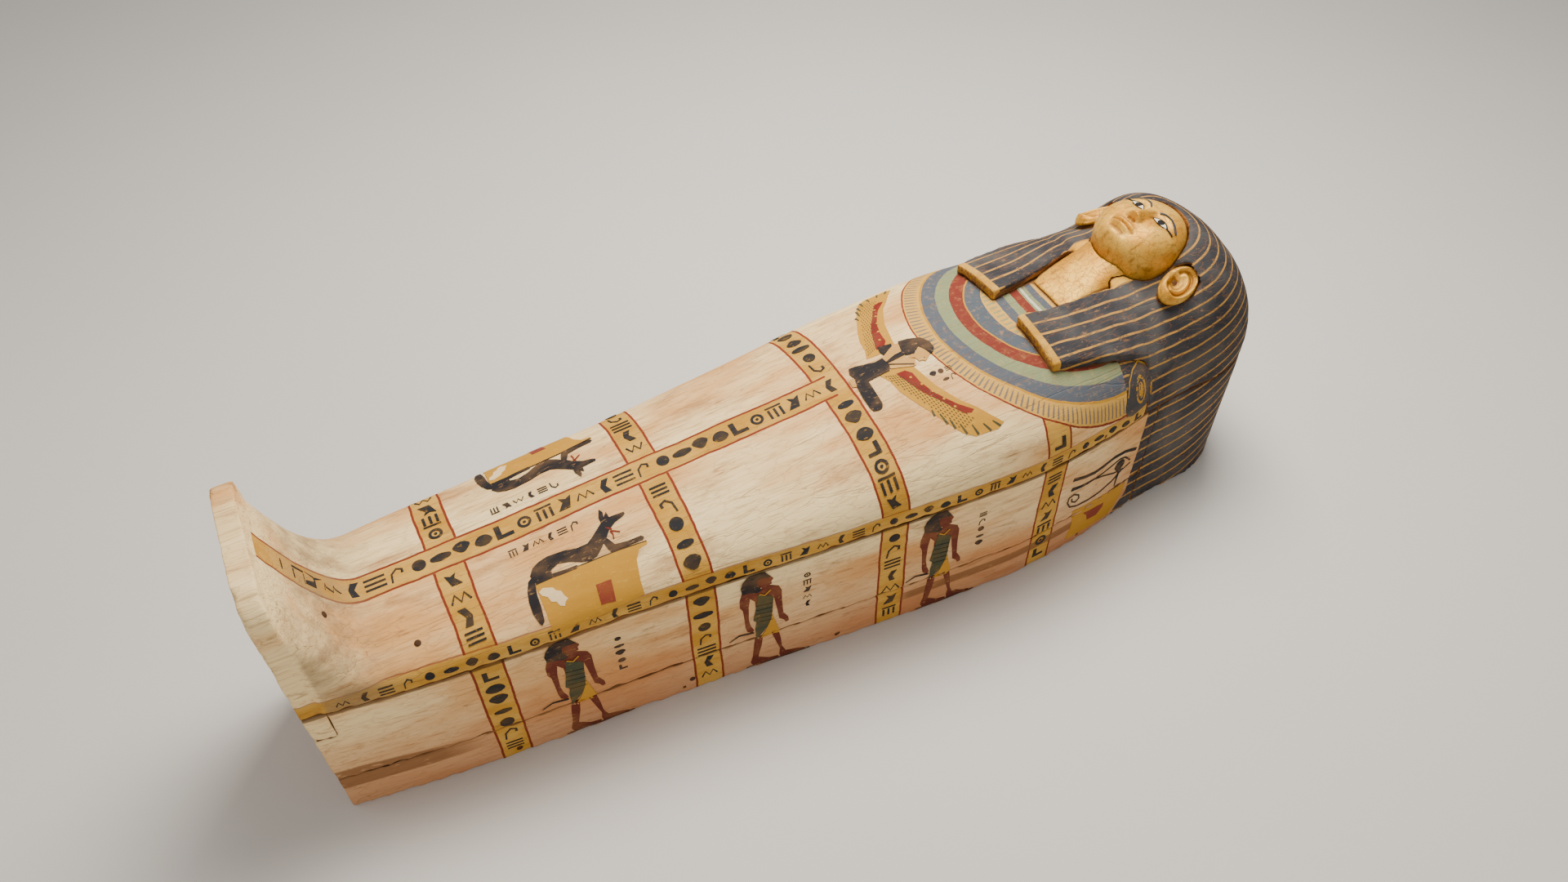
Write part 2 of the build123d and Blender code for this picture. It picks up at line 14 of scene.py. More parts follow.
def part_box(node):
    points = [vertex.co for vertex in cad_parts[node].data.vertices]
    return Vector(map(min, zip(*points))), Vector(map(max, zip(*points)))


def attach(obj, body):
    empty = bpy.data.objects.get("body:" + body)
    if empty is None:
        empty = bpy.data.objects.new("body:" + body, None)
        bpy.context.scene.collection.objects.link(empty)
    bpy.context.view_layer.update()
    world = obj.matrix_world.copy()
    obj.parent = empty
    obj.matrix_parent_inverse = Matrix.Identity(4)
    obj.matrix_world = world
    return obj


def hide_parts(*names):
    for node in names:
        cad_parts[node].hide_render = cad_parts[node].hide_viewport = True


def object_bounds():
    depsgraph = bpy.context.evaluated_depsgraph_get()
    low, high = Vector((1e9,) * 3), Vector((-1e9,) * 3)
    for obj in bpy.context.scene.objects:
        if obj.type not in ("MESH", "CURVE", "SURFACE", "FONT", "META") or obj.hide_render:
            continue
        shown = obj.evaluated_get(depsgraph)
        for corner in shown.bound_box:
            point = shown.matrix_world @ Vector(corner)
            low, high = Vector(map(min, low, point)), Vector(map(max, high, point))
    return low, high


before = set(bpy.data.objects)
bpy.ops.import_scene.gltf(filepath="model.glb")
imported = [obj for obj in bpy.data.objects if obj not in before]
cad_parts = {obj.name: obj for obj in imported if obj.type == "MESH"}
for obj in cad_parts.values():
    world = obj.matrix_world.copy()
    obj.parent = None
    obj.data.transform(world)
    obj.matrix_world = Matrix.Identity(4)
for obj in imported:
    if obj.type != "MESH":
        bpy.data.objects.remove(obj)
cad_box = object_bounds()
print("CAD box", [[round(value, 4) for value in corner] for corner in cad_box])

# %% [markdown]
# The camera stands at the feet, well above the case, and looks down its length. A pale floor and
# three large lamps keep the shadows soft, so the colours of the paint are seen as they are.

# %% Camera
camera_place = Vector((-0.67892, -1.30504, 1.90580))
camera_look = Vector((0.2970, 0.6086, -0.7358)).normalized()
camera_roll = -0.02
camera_lens = 27.1

level_right = camera_look.cross(Vector((0, 0, 1))).normalized()
level_up = level_right.cross(camera_look)
rolled_right = cos(camera_roll) * level_right + sin(camera_roll) * level_up
rolled_up = cos(camera_roll) * level_up - sin(camera_roll) * level_right

camera = bpy.data.objects.new("camera", bpy.data.cameras.new("camera"))
camera.data.lens = camera_lens
camera.data.sensor_width = 36
camera.data.sensor_fit = "HORIZONTAL"
camera.data.clip_end = 60
turn = Matrix((rolled_right, rolled_up, -camera_look)).transposed()
camera.matrix_world = Matrix.Translation(camera_place) @ turn.to_4x4()
bpy.context.collection.objects.link(camera)
bpy.context.scene.camera = camera
print("camera", [round(value, 3) for value in camera_place])


# %% Lamps and surroundings
def lamp(name, place, target, size, watts, tint):
    """A square soft lamp that shines from its place at a target."""
    light = bpy.data.lights.new(name, "AREA")
    light.size = size
    light.energy = watts
    light.color = tint
    holder = bpy.data.objects.new(name, light)
    aim = (Vector(target) - Vector(place)).to_track_quat("-Z", "Y")
    holder.matrix_world = Matrix.Translation(place) @ aim.to_matrix().to_4x4()
    bpy.context.collection.objects.link(holder)


lamp("overhead_lamp", (0.7, 0.7, 2.8), (0.1, 0, 0.3), 1.6, 150, (1.0, 0.94, 0.85))
lamp("side_lamp", (-1.2, -2.6, 1.3), (0, 0, 0.2), 1.6, 16, (1.0, 0.88, 0.76))
lamp("foot_lamp", (-2.6, 0.9, 1.8), (-0.3, 0, 0.3), 1.4, 8, (1.0, 0.95, 0.90))

world = bpy.data.worlds.new("studio")
bpy.context.scene.world = world
world.use_nodes = True
world.node_tree.nodes["Background"].inputs["Color"].default_value = (0.92, 0.90, 0.88, 1)
world.node_tree.nodes["Background"].inputs["Strength"].default_value = 0.38

# %% [markdown]
# Paint is mixed in the shader from sums of simple fields: how far along the case a point lies,
# how high, how far from the throat. A small class lets those sums be written as plain Python.


# %% Shader maths
class Wire:
    """One output socket, with Python's operators for the maths between values."""

    def __init__(self, tree, socket):
        self.tree = tree
        self.socket = socket

    def node(self, kind, settings, sockets, out=0):
        """Adds a node, sets it up, fills or links its sockets, and gives one of its outputs."""
        made = self.tree.nodes.new(kind)
        for name, value in settings.items():
            if name == "stops":
                self.fill_ramp(made.color_ramp, value)
            else:
                setattr(made, name, value)
        for name, value in sockets.items():
            if isinstance(value, Wire):
                self.tree.links.new(value.socket, made.inputs[name])
            else:
                made.inputs[name].default_value = value
        return Wire(self.tree, made.outputs[out])

    @staticmethod
    def fill_ramp(ramp, stops):
        """Sharp steps of colour, each from its own place on."""
        ramp.interpolation = "CONSTANT"
        for place, colour in stops[1:-1]:
            ramp.elements.new(place).color = colour
        for element, (place, colour) in ((ramp.elements[0], stops[0]), (ramp.elements[-1], stops[-1])):
            element.position = place
            element.color = colour

    def maths(self, operation, *values):
        return self.node("ShaderNodeMath", {"operation": operation}, dict(enumerate(values)))

    def __add__(self, other):
        return self.maths("ADD", self, other)

    __radd__ = __add__

    def __sub__(self, other):
        return self.maths("SUBTRACT", self, other)

    def __rsub__(self, other):
        return self.maths("SUBTRACT", other, self)

    def __mul__(self, other):
        return self.maths("MULTIPLY", self, other)

    __rmul__ = __mul__

    def __truediv__(self, other):
        return self.maths("DIVIDE", self, other)

    def __or__(self, other):
        return self.maths("MAXIMUM", self, other)

    def __abs__(self):
        return self.maths("ABSOLUTE", self)

    def split(self):
        """The three parts of a vector."""
        parts = self.tree.nodes.new("ShaderNodeSeparateXYZ")
        self.tree.links.new(self.socket, parts.inputs[0])
        return [Wire(self.tree, output) for output in parts.outputs]

    def rise(self, start, end):
        """0 before start, 1 after end, and a smooth step between."""
        steps = {"Value": self, "From Min": start, "From Max": end}
        return self.node("ShaderNodeMapRange", {"interpolation_type": "SMOOTHSTEP"}, steps)

    def within(self, low, high, soft=0.0006):
        """1 between two values, with a soft edge at each."""
        return self.rise(low - soft, low + soft) * (1 - self.rise(high - soft, high + soft))


def pigment(red, green, blue):
    """A screen colour, 0 to 255, as the linear colour that shaders use."""
    return tuple((part / 255) ** 2.2 for part in (red, green, blue)) + (1,)


def lay(mask, under, over):
    """The colour over on the colour under, where the mask is 1."""
    settings = {"data_type": "RGBA"}
    return mask.node("ShaderNodeMix", settings, {0: mask, 6: under, 7: over}, out=2)


def cloudy(point, waves, detail=4, roughness=0.55):
    """Smooth noise from 0 to 1, with its own number of waves in a metre each way."""
    stretched = point.node("ShaderNodeMapping", {}, {"Vector": point, "Scale": waves})
    sockets = {"Vector": stretched, "Scale": 1.0, "Detail": detail, "Roughness": roughness}
    return point.node("ShaderNodeTexNoise", {}, sockets)


def cracked(point, waves, width):
    """1 on a net of thin cracks, with its own number of cells in a metre each way."""
    stretched = point.node("ShaderNodeMapping", {}, {"Vector": point, "Scale": waves})
    bend = point.node("ShaderNodeTexNoise", {}, {"Vector": stretched, "Scale": 1.3, "Detail": 3.0}, out=1)
    bent = point.node("ShaderNodeVectorMath", {"operation": "ADD"}, {0: stretched, 1: bend})
    edges = point.node(
        "ShaderNodeTexVoronoi", {"feature": "DISTANCE_TO_EDGE"}, {"Vector": bent, "Scale": 1.0}
    )
    return 1 - edges.rise(0.0, width)


def attribute(point, name):
    """A value that a piece's mesh carries at each of its points."""
    return point.node("ShaderNodeAttribute", {"attribute_name": name}, {}, out=2)


def new_finish(name):
    """An empty material and the place of each point on the object."""
    finish = bpy.data.materials.new(name)
    finish.use_nodes = True
    coordinates = finish.node_tree.nodes.new("ShaderNodeTexCoord")
    return finish, Wire(finish.node_tree, coordinates.outputs["Object"])


def settle(finish, colour, roughness, relief, depth, strength=0.6, shine=0.12):
    """Feeds a finish's colour, roughness and relief into its shader."""
    tree = finish.node_tree
    shader = tree.nodes["Principled BSDF"]
    bump = tree.nodes.new("ShaderNodeBump")
    bump.inputs["Strength"].default_value = strength
    bump.inputs["Distance"].default_value = depth
    tree.links.new(relief.socket, bump.inputs["Height"])
    tree.links.new(bump.outputs["Normal"], shader.inputs["Normal"])
    tree.links.new(colour.socket, shader.inputs["Base Color"])
    tree.links.new(roughness.socket, shader.inputs["Roughness"])
    shader.inputs["Specular IOR Level"].default_value = shine
    return shader


print("shader helpers ready")

# %% Sizes of the painted scheme, in metres from the foot end, the middle and the floor
half_length = (cad_box[1][0] - cad_box[0][0]) / 2
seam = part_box("side_upper_left")[1][2]
band_stations = (0.285, 0.646, 1.004, 1.336)
band_half = 0.0275
border_width = 0.0042
edge_band_top = seam + 0.034
edge_band_end = 1.575
collar_centre = (1.46 - half_length, 0, 0.451)
collar_edge = 0.270
wig_paint_start = 1.497
foot_board_inside = 0.040
box_wig_start = 1.570
print("seam at", round(seam, 3))

# %% [markdown]
# The wood was coated with a thin pale plaster, which has cracked along the grain, gone brown in
# places and worn off the edges. All painted pieces share this ground, so it is one function.

# %% Colours
cream = pigment(254, 225, 166)
warm_cream = pigment(224, 166, 102)
instep_shade_brown = pigment(140, 116, 86)
lower_shade_pink = pigment(182, 116, 80)
brown_stain = pigment(156, 104, 60)
wood_brown = pigment(134, 92, 58)
wood_dark = pigment(74, 48, 30)
ochre = pigment(190, 138, 50)
ochre_pale = pigment(212, 164, 80)
band_red = pigment(128, 54, 38)
ink_black = pigment(46, 46, 48)
collar_blue = pigment(88, 94, 102)
collar_green = pigment(134, 142, 106)
collar_red = pigment(124, 56, 46)
hair_black = pigment(56, 56, 60)
hair_worn = pigment(96, 94, 92)
hair_stripe = pigment(186, 138, 70)
gold_mid = pigment(210, 146, 42)
gold_pale = pigment(234, 182, 78)
gold_deep = pigment(124, 74, 18)


def plain_wood(point):
    """Colour and relief of bare wood with its grain along the case."""
    grain = cloudy(point, (5, 150, 150), 5)
    cloud = cloudy(point, (3, 12, 12))
    colour = lay(grain.rise(0.35, 0.7), wood_dark, wood_brown)
    colour = lay(0.5 * cloud.rise(0.45, 0.7), colour, warm_cream)
    return colour, grain


def plaster_ground(point, height):
    """Colour and relief of the cracked pale plaster, with painted shade towards the floor."""
    cloud = cloudy(point, (2.6, 8, 8), 5)
    blotch = cloudy(point, (7, 21, 21), 6, 0.65)
    grain = cloudy(point, (8, 190, 190), 3)
    colour = lay(cloud.rise(0.40, 0.68), cream, warm_cream)
    colour = lay(0.55 * blotch.rise(0.52, 0.72), colour, brown_stain)
    colour = lay(0.46 * grain.rise(0.50, 0.75), colour, brown_stain)
    # Painted shade: the ground turns darker and pinker towards the floor.
    colour = lay(0.78 * (1 - height.rise(0.0, 0.30)), colour, lower_shade_pink)
    return colour, grain, blotch


def aged(point, colour, grain, blotch):
    """The same colour after cracks and wear have shown the wood, and the relief that goes with it."""
    long_cracks = cracked(point, (1.6, 24, 24), 0.022)
    fine_cracks = cracked(point, (16, 70, 70), 0.05)
    worn = attribute(point, "worn")
    bare = attribute(point, "bare")
    chips = cloudy(point, (24, 60, 60), 5, 0.7)
    wood, wood_grain = plain_wood(point)
    colour = lay(0.22 * fine_cracks, colour, brown_stain)
    colour = lay(0.55 * long_cracks * chips.rise(0.46, 0.64), colour, wood_brown)
    chipped = (worn + 0.9 * chips).rise(0.80, 0.95)
    colour = lay(0.85 * chipped, colour, wood)
    colour = lay(bare.rise(0.35, 0.65), colour, wood)
    relief = 0.35 * grain + 0.5 * blotch - 0.6 * long_cracks - 0.25 * fine_cracks - 0.5 * chipped
    return colour, relief


print("ground colours ready")

# %% [markdown]
# Yellow bands with red borders run down the middle, across the body and down the sides, like the
# linen straps on the wrapped body inside. A broad collar lies in rings round the throat.


# %% Body and box paint
def band_paint(point, centre_distance, colour, blotch):
    """One yellow band with a red line at each edge, and where it lies."""
    band = 1 - centre_distance.rise(band_half - 0.0006, band_half + 0.0006)
    line = centre_distance.within(band_half - border_width, band_half)
    yellow = lay(blotch.rise(0.35, 0.65), ochre, ochre_pale)
    return lay(line, lay(band, colour, yellow), band_red)


def case_paint(name, on_lid):
    """The paint of the body, with its bands, and with the collar where it is for the lid."""
    finish, point = new_finish(name)
    x, y, z = point.split()
    sway = cloudy(point, (13, 13, 13), 2) - 0.5
    shake = cloudy(point, (90, 90, 90), 2) - 0.5
    station = x + half_length + 0.006 * sway + 0.0018 * shake
    side = abs(y + 0.006 * sway + 0.0018 * shake)
    height = z + 0.004 * sway + 0.0015 * shake
    colour, grain, blotch = plaster_ground(point, z)

    distances = [abs(station - place) for place in band_stations]
    if on_lid:
        away = point.node("ShaderNodeVectorMath", {"operation": "DISTANCE"}, {0: point, 1: collar_centre}, out=1)
        radius = away + 0.006 * sway + 0.0018 * shake
        for distance in distances[:3]:
            colour = band_paint(point, distance, colour, blotch)
        colour = band_paint(point, distances[3] + 9 * (1 - radius.rise(0.268, 0.269)), colour, blotch)
        past_crossing = 9 * (station.rise(1.004, 1.005) + 1 - (x + half_length).rise(0.036, foot_board_inside))
        colour = band_paint(point, side + past_crossing, colour, blotch)
        low_band = (1 - height.rise(edge_band_top - 0.0006, edge_band_top + 0.0006)) * (
            1 - station.rise(edge_band_end, edge_band_end + 0.001)
        )
        colour = lay(low_band, colour, lay(blotch.rise(0.35, 0.65), ochre, ochre_pale))
        colour = lay(0.7 * height.within(edge_band_top, edge_band_top + 0.002), colour, band_red)
        across = (1.46 - station) + 1.2 * y * y
        rings_at = across + (radius - across) * radius.rise(0.116, 0.122)
        colour = collar_paint(point, y, station, radius, rings_at, colour)
        wig_zone = station.rise(wig_paint_start, wig_paint_start + 0.002) * radius.rise(0.100, 0.102)
        hair = hair_paint(point, station, side, height)
        colour = lay(wig_zone * height.rise(edge_band_top - 0.001, edge_band_top), colour, hair)
        seam_line = 1 - z.rise(seam + 0.0020, seam + 0.0050)
        # Painted shade: the instep behind the foot board is darkened to grey-brown, where the board's shadow falls.
        instep_shade = station.rise(0.036, 0.044) * (1 - station.rise(0.08, 0.19)) * (1 - height.rise(0.40, 0.56))
        colour = lay(0.75 * instep_shade * (0.4 + 0.6 * blotch.rise(0.35, 0.60)), colour, instep_shade_brown)
    else:
        for distance in distances:
            colour = band_paint(point, distance, colour, blotch)
        foot_groove = height.within(0.062, 0.100 + 0.02 * (1 - station.rise(0.02, 0.25)), 0.003)
        foot_groove = foot_groove * (1 - station.rise(0.16, 0.27))
        long_groove = height.within(0.054, 0.076, 0.002) * station.within(1.03, 1.47, 0.02)
        ragged = (cloudy(point, (30, 90, 90)) + 0.2).rise(0.42, 0.62)
        colour = lay((foot_groove | long_groove) * ragged * 0.85, colour, wood_brown)
        turn_in = 0.03 * (1 - height.rise(0.0, 0.06))
        hair = hair_paint(point, station, side, height)
        colour = lay((station + turn_in).rise(box_wig_start, box_wig_start + 0.002), colour, hair)
        seam_line = z.rise(seam - 0.0070, seam - 0.0040)
    colour = lay(0.75 * seam_line, colour, wood_dark)
    colour, relief = aged(point, colour, grain, blotch)
    roughness = 0.62 + 0.25 * blotch
    shader = settle(finish, colour, roughness, relief, 0.0016)
    return finish


def collar_paint(point, y, station, radius, rings_at, colour):
    """Rings of colour round the throat, with a fringe of drops at the outer edge."""
    bottom = pigment(84, 92, 100)
    rings = radius.node(
        "ShaderNodeValToRGB",
        {
            "stops": [
                (0.0, ochre_pale),
                (0.024, collar_blue),
                (0.075, collar_green),
                (0.105, pigment(206, 200, 176)),
                (0.125, collar_green),
                (0.140, collar_red),
                (0.205, collar_green),
                (0.265, collar_blue),
                (0.335, ochre_pale),
                (0.435, bottom),
                (0.555, ochre),
                (0.570, collar_red),
                (0.662, collar_green),
                (0.758, collar_blue),
                (0.858, ochre),
                (0.872, ochre_pale),
                (0.985, band_red),
            ]
        },
        {"Fac": rings_at / collar_edge},
    )
    worn = cloudy(point, (80, 80, 80), 5, 0.7)
    rings = lay(0.24 * worn.rise(0.52, 0.70), rings, warm_cream)
    angle = point.node("ShaderNodeMath", {"operation": "ARCTAN2"}, {0: y, 1: station - 1.46})
    beat = abs(point.node("ShaderNodeMath", {"operation": "FRACT"}, {0: angle * 26.0}) - 0.5)
    outer_drop = (radius.within(0.240, 0.264) * (1 - beat.rise(0.16, 0.20))) * (
        1 - (beat + 14 * (0.264 - radius)).rise(0.38, 0.42)
    )
    rings = lay(0.8 * outer_drop, rings, collar_blue)
    inner_beat = abs(point.node("ShaderNodeMath", {"operation": "FRACT"}, {0: y / 0.012}) - 0.5)
    inner_drop = rings_at.within(0.094, 0.112) * (1 - inner_beat.rise(0.18, 0.22))
    rings = lay(0.8 * inner_drop, rings, collar_green)
    return lay(1 - radius.rise(collar_edge - 0.0005, collar_edge + 0.0005), colour, rings)


# %% [markdown]
# The wig is blue-black with thin yellow lines for its strands. They run up the two lappets and
# then round the head, so a line is where the distance from a long U has a whole number of steps.

# %% Hair
strand_pitch = 0.032
strand_half = 0.0025
crown_centre_station = 1.655


def hair_paint(point, station, side, height):
    """Blue-black with thin yellow strands that run up the lappets and round the head."""
    beyond = (station - crown_centre_station) | 0.0
    spread = 0.16 * ((1.56 - station) | 0.0)
    sideways = side + spread
    plan = point.node("ShaderNodeMath", {"operation": "SQRT"}, {0: beyond * beyond + sideways * sideways})
    field = plan + 0.95 * (0.50 - height) + 0.06 * station
    step = point.node("ShaderNodeMath", {"operation": "FRACT"}, {0: field / strand_pitch})
    worn = cloudy(point, (60, 110, 110), 6, 0.75)
    patch = cloudy(point, (9, 9, 9), 4)
    off_line = abs(step - 0.5) * strand_pitch + 0.0022 * (patch - 0.5)
    strand = 1 - off_line.rise(strand_half - 0.0008, strand_half + 0.0008)
    dark = lay(0.7 * patch.rise(0.38, 0.68), hair_black, hair_worn)
    dark = lay(0.34 * worn.rise(0.58, 0.70), dark, warm_cream)
    line = strand * (1 - 0.7 * worn.rise(0.50, 0.62))
    return lay(line, dark, hair_stripe)


def wig_finish(name):
    """Hair paint with raw wood at the cut ends of the lappets."""
    finish, point = new_finish(name)
    x, y, z = point.split()
    sway = cloudy(point, (11, 11, 11), 2) - 0.5
    station = x + half_length
    swayed_station = station + 0.012 * sway
    side = abs(y + 0.010 * sway)
    colour = hair_paint(point, swayed_station, side, z + 0.008 * sway)
    grain = cloudy(point, (8, 150, 150), 3)
    blotch = cloudy(point, (12, 30, 30), 6, 0.65)
    end_strip = 1 - station.rise(1.380, 1.382)
    colour = lay(end_strip, colour, lay(blotch.rise(0.35, 0.65), ochre, ochre_pale))
    rough_wood = cloudy(point, (60, 160, 160), 5, 0.7)
    cut_end = attribute(point, "facing_feet").rise(0.55, 0.80) * (1 - station.rise(1.395, 1.400))
    colour = lay(cut_end, colour, lay(rough_wood.rise(0.40, 0.60), wood_brown, ochre))
    neck_side = station.within(1.560, 1.612, 0.003) * (1 - abs(y).rise(0.067, 0.069))
    colour = lay(neck_side, colour, lay(blotch.rise(0.35, 0.65), gold_mid, gold_pale))
    colour, relief = aged(point, colour, grain, blotch)
    shader = settle(finish, colour, 0.58 + 0.3 * blotch, relief + 1.6 * cut_end * rough_wood, 0.0016)
    return finish


# %% [markdown]
# Face, throat and ears are covered with yellow and gold paint over plaster. It is a little
# glossy, painted darker in the hollows as shade, and rubbed in a fine net of brush lines and small cracks.


# %% Gold and bare wood
def gold_finish(name):
    """Gilded plaster, rubbed and slightly glossy, with painted shade in the hollows."""
    finish, point = new_finish(name)
    cloud = cloudy(point, (14, 14, 14), 5, 0.6)
    speck = cloudy(point, (120, 120, 120), 4, 0.7)
    streak = cloudy(point, (40, 110, 60), 4, 0.6)
    cracks = cracked(point, (60, 60, 60), 0.05)
    colour = lay(cloud.rise(0.36, 0.62), gold_mid, gold_pale)
    colour = lay(0.6 * streak.rise(0.50, 0.72), colour, gold_deep)
    colour = lay(0.5 * speck.rise(0.60, 0.72), colour, wood_brown)
    colour = lay(0.35 * cracks, colour, gold_deep)
    # Painted shade: the gold turns deep brown in the hollows of the carving.
    colour = lay(0.75 * attribute(point, "hollow").rise(0.05, 0.90), colour, gold_deep)
    colour = lay(0.7 * attribute(point, "bare").rise(0.35, 0.65), colour, wood_brown)
    relief = 0.5 * streak + 0.3 * speck - 0.4 * cracks
    shader = settle(finish, colour, 0.38 + 0.3 * speck, relief, 0.0010, shine=0.35)
    shader.inputs["Metallic"].default_value = 0.35
    return finish


def wood_finish(name):
    """Bare wood with its grain along the case."""
    finish, point = new_finish(name)
    colour, grain = plain_wood(point)
    cracks = cracked(point, (3, 40, 40), 0.03)
    colour = lay(0.6 * cracks, colour, wood_dark)
    settle(finish, colour, 0.7 + 0.2 * grain, grain - cracks, 0.0012)
    return finish


lid_paint = case_paint("painted_lid", True)
box_paint = case_paint("painted_box", False)
wig_paint = wig_finish("striped_wig")
gold_paint = gold_finish("gold_face")
bare_wood = wood_finish("bare_wood")
print("finishes", [m.name for m in (lid_paint, box_paint, wig_paint, gold_paint, bare_wood)])

# %% [markdown]
# The planks were cut with an adze, so no face is flat and no edge is sharp. Each visible plank
# is a copy of its CAD solid: its triangles are joined, it is meshed again in small even cells,
# and its points move in and out by a few tenths of a millimetre, in waves along the grain.

# %% Join the CAD surfaces for ray tests
joined_points = []
joined_faces = []
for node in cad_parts.values():
    mesh = node.data
    start = len(joined_points)
    joined_points.extend(v.co.copy() for v in mesh.vertices)
    joined_faces.extend([start + i for i in face.vertices] for face in mesh.polygons)
cad_surface = BVHTree.FromPolygons(joined_points, joined_faces)
print("CAD faces", len(joined_faces))


# %% Hewn wood
def grain_wave(point):
    """How far the surface stands in or out at a place, in metres."""
    long_wave = noise.noise(Vector((point.x * 6, point.y * 13, point.z * 13)))
    tool_mark = noise.noise(Vector((point.x * 24, point.y * 70, point.z * 70)))
    return 0.0014 * long_wave + 0.0005 * tool_mark - 0.0004


def mark_surface(shape):
    """Stores at each point how worn it is, from its edges, and whether it is bare inside wood."""
    worn = []
    bare = []
    for vertex in shape.verts:
        around = [edge.other_vert(vertex).co for edge in vertex.link_edges]
        middle = sum(around, Vector()) / len(around)
        reach = sum((place - vertex.co).length for place in around) / len(around)
        worn.append(max(0.0, (vertex.co - middle).dot(vertex.normal) / reach))
        start = vertex.co + 0.003 * vertex.normal
        bare.append(0.0 if cad_surface.ray_cast(start, vertex.normal, 0.6)[0] is None else 1.0)
    for values in (worn, bare, bare):
        softened = []
        for vertex in shape.verts:
            around = [values[edge.other_vert(vertex).index] for edge in vertex.link_edges]
            softened.append((values[vertex.index] + sum(around)) / (1 + len(around)))
        values[:] = softened
    return worn, bare


def hewn(nodes, name, finish, body, cell=0.004):
    """A piece of hewn and painted wood that stands for one or more CAD nodes."""
    joined = bmesh.new()
    for node in nodes:
        joined.from_mesh(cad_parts[node].data)
    bmesh.ops.remove_doubles(joined, verts=joined.verts, dist=1e-6)
    rough_mesh = bpy.data.meshes.new(name)
    joined.to_mesh(rough_mesh)
    joined.free()
    piece = bpy.data.objects.new(name, rough_mesh)
    bpy.context.collection.objects.link(piece)
    cells = piece.modifiers.new("cells", "REMESH")
    cells.mode = "VOXEL"
    cells.voxel_size = cell
    graph = bpy.context.evaluated_depsgraph_get()
    fine_mesh = bpy.data.meshes.new_from_object(piece.evaluated_get(graph))
    piece.modifiers.clear()
    piece.data = fine_mesh

    shape = bmesh.new()
    shape.from_mesh(fine_mesh)
    bmesh.ops.smooth_vert(shape, verts=shape.verts, factor=0.5, use_axis_x=True, use_axis_y=True, use_axis_z=True)
    shape.normal_update()
    for vertex in shape.verts:
        vertex.co += grain_wave(vertex.co) * vertex.normal
    shape.normal_update()
    shape.verts.index_update()
    worn, bare = mark_surface(shape)
    for vertex, wear in zip(shape.verts, worn):
        chip = max(0.0, noise.noise(38 * vertex.co)) * min(1.0, 5 * wear)
        vertex.co -= 0.007 * chip * vertex.normal
    for face in shape.faces:
        face.smooth = True
    shape.to_mesh(fine_mesh)
    shape.free()
    facing_feet = [max(0.0, -vertex.normal.x) for vertex in fine_mesh.vertices]
    for label, values in (("worn", worn), ("bare", bare), ("facing_feet", facing_feet)):
        fine_mesh.attributes.new(label, "FLOAT", "POINT").data.foreach_set("value", values)
    fine_mesh.materials.clear()
    fine_mesh.materials.append(finish)
    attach(piece, body)
    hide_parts(*nodes)
    return piece


lid_planks = ("lid_plank_left", "lid_plank_centre", "lid_plank_right", "lid_foot_wedge", "lid_foot_board")
lid_body = hewn(lid_planks, "hewn_lid_body", lid_paint, "lid", 0.0050)
wig_nodes = ("wig_block", "lappet_left", "lappet_right")
wig = hewn(wig_nodes, "hewn_wig", wig_paint, "lid", 0.0036)
box_nodes = ("side_lower_left", "side_lower_right", "side_upper_left", "side_upper_right")
box_nodes += ("corner_block_left", "box_foot_board", "head_wall_left", "head_wall_right")
box_pieces = [
    hewn((node,), f"hewn_{node}", box_paint, "case_box") for node in box_nodes
]
throat = hewn(("throat",), "gilded_throat", gold_paint, "lid", 0.003)
for piece in (lid_body, wig, throat, *box_pieces):
    print(piece.name, len(piece.data.polygons), "faces")

# %% [markdown]
# Inside, and where wood meets wood, nothing was painted. The floor planks, dowels, pegs and
# tenons are true to the CAD, so they only get the finish of bare wood.

# %% Bare wood on the hidden nodes
carved_nodes = ("mask", "ear_left", "ear_right", "throat")
for name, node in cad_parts.items():
    if name not in lid_planks + wig_nodes + box_nodes + carved_nodes:
        node.data.materials.clear()
        node.data.materials.append(bare_wood)

# %% [markdown]
# The face is carved from its own block and let into the wig. It follows the plain proportions of
# a drawing book: brow, nose tip and chin a third of the face apart, eyes one eye's width apart.
# A round grid is lifted into a dome, and each feature is a soft swelling or hollow on it.

# %% Relief on a round grid
mask_low, mask_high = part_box("mask")
mask_middle = (mask_low + mask_high) / 2
mask_half = (mask_high - mask_low) / 2
mask_edge = 0.520
mask_dome = 0.050


full_hollow = 0.0010


def hollowness(shape, rounds):
    """How far each point lies below the smoothed surface around it, from 0 to 1."""
    smoothed = [vertex.co.copy() for vertex in shape.verts]
    links = [[edge.other_vert(vertex).index for edge in vertex.link_edges] for vertex in shape.verts]
    for _ in range(rounds):
        smoothed = [sum((smoothed[i] for i in around), Vector()) / len(around) for around in links]
    depths = []
    for vertex, level in zip(shape.verts, smoothed):
        depths.append(min(1.0, max(0.0, (level - vertex.co).dot(vertex.normal) / full_hollow)))
    return depths


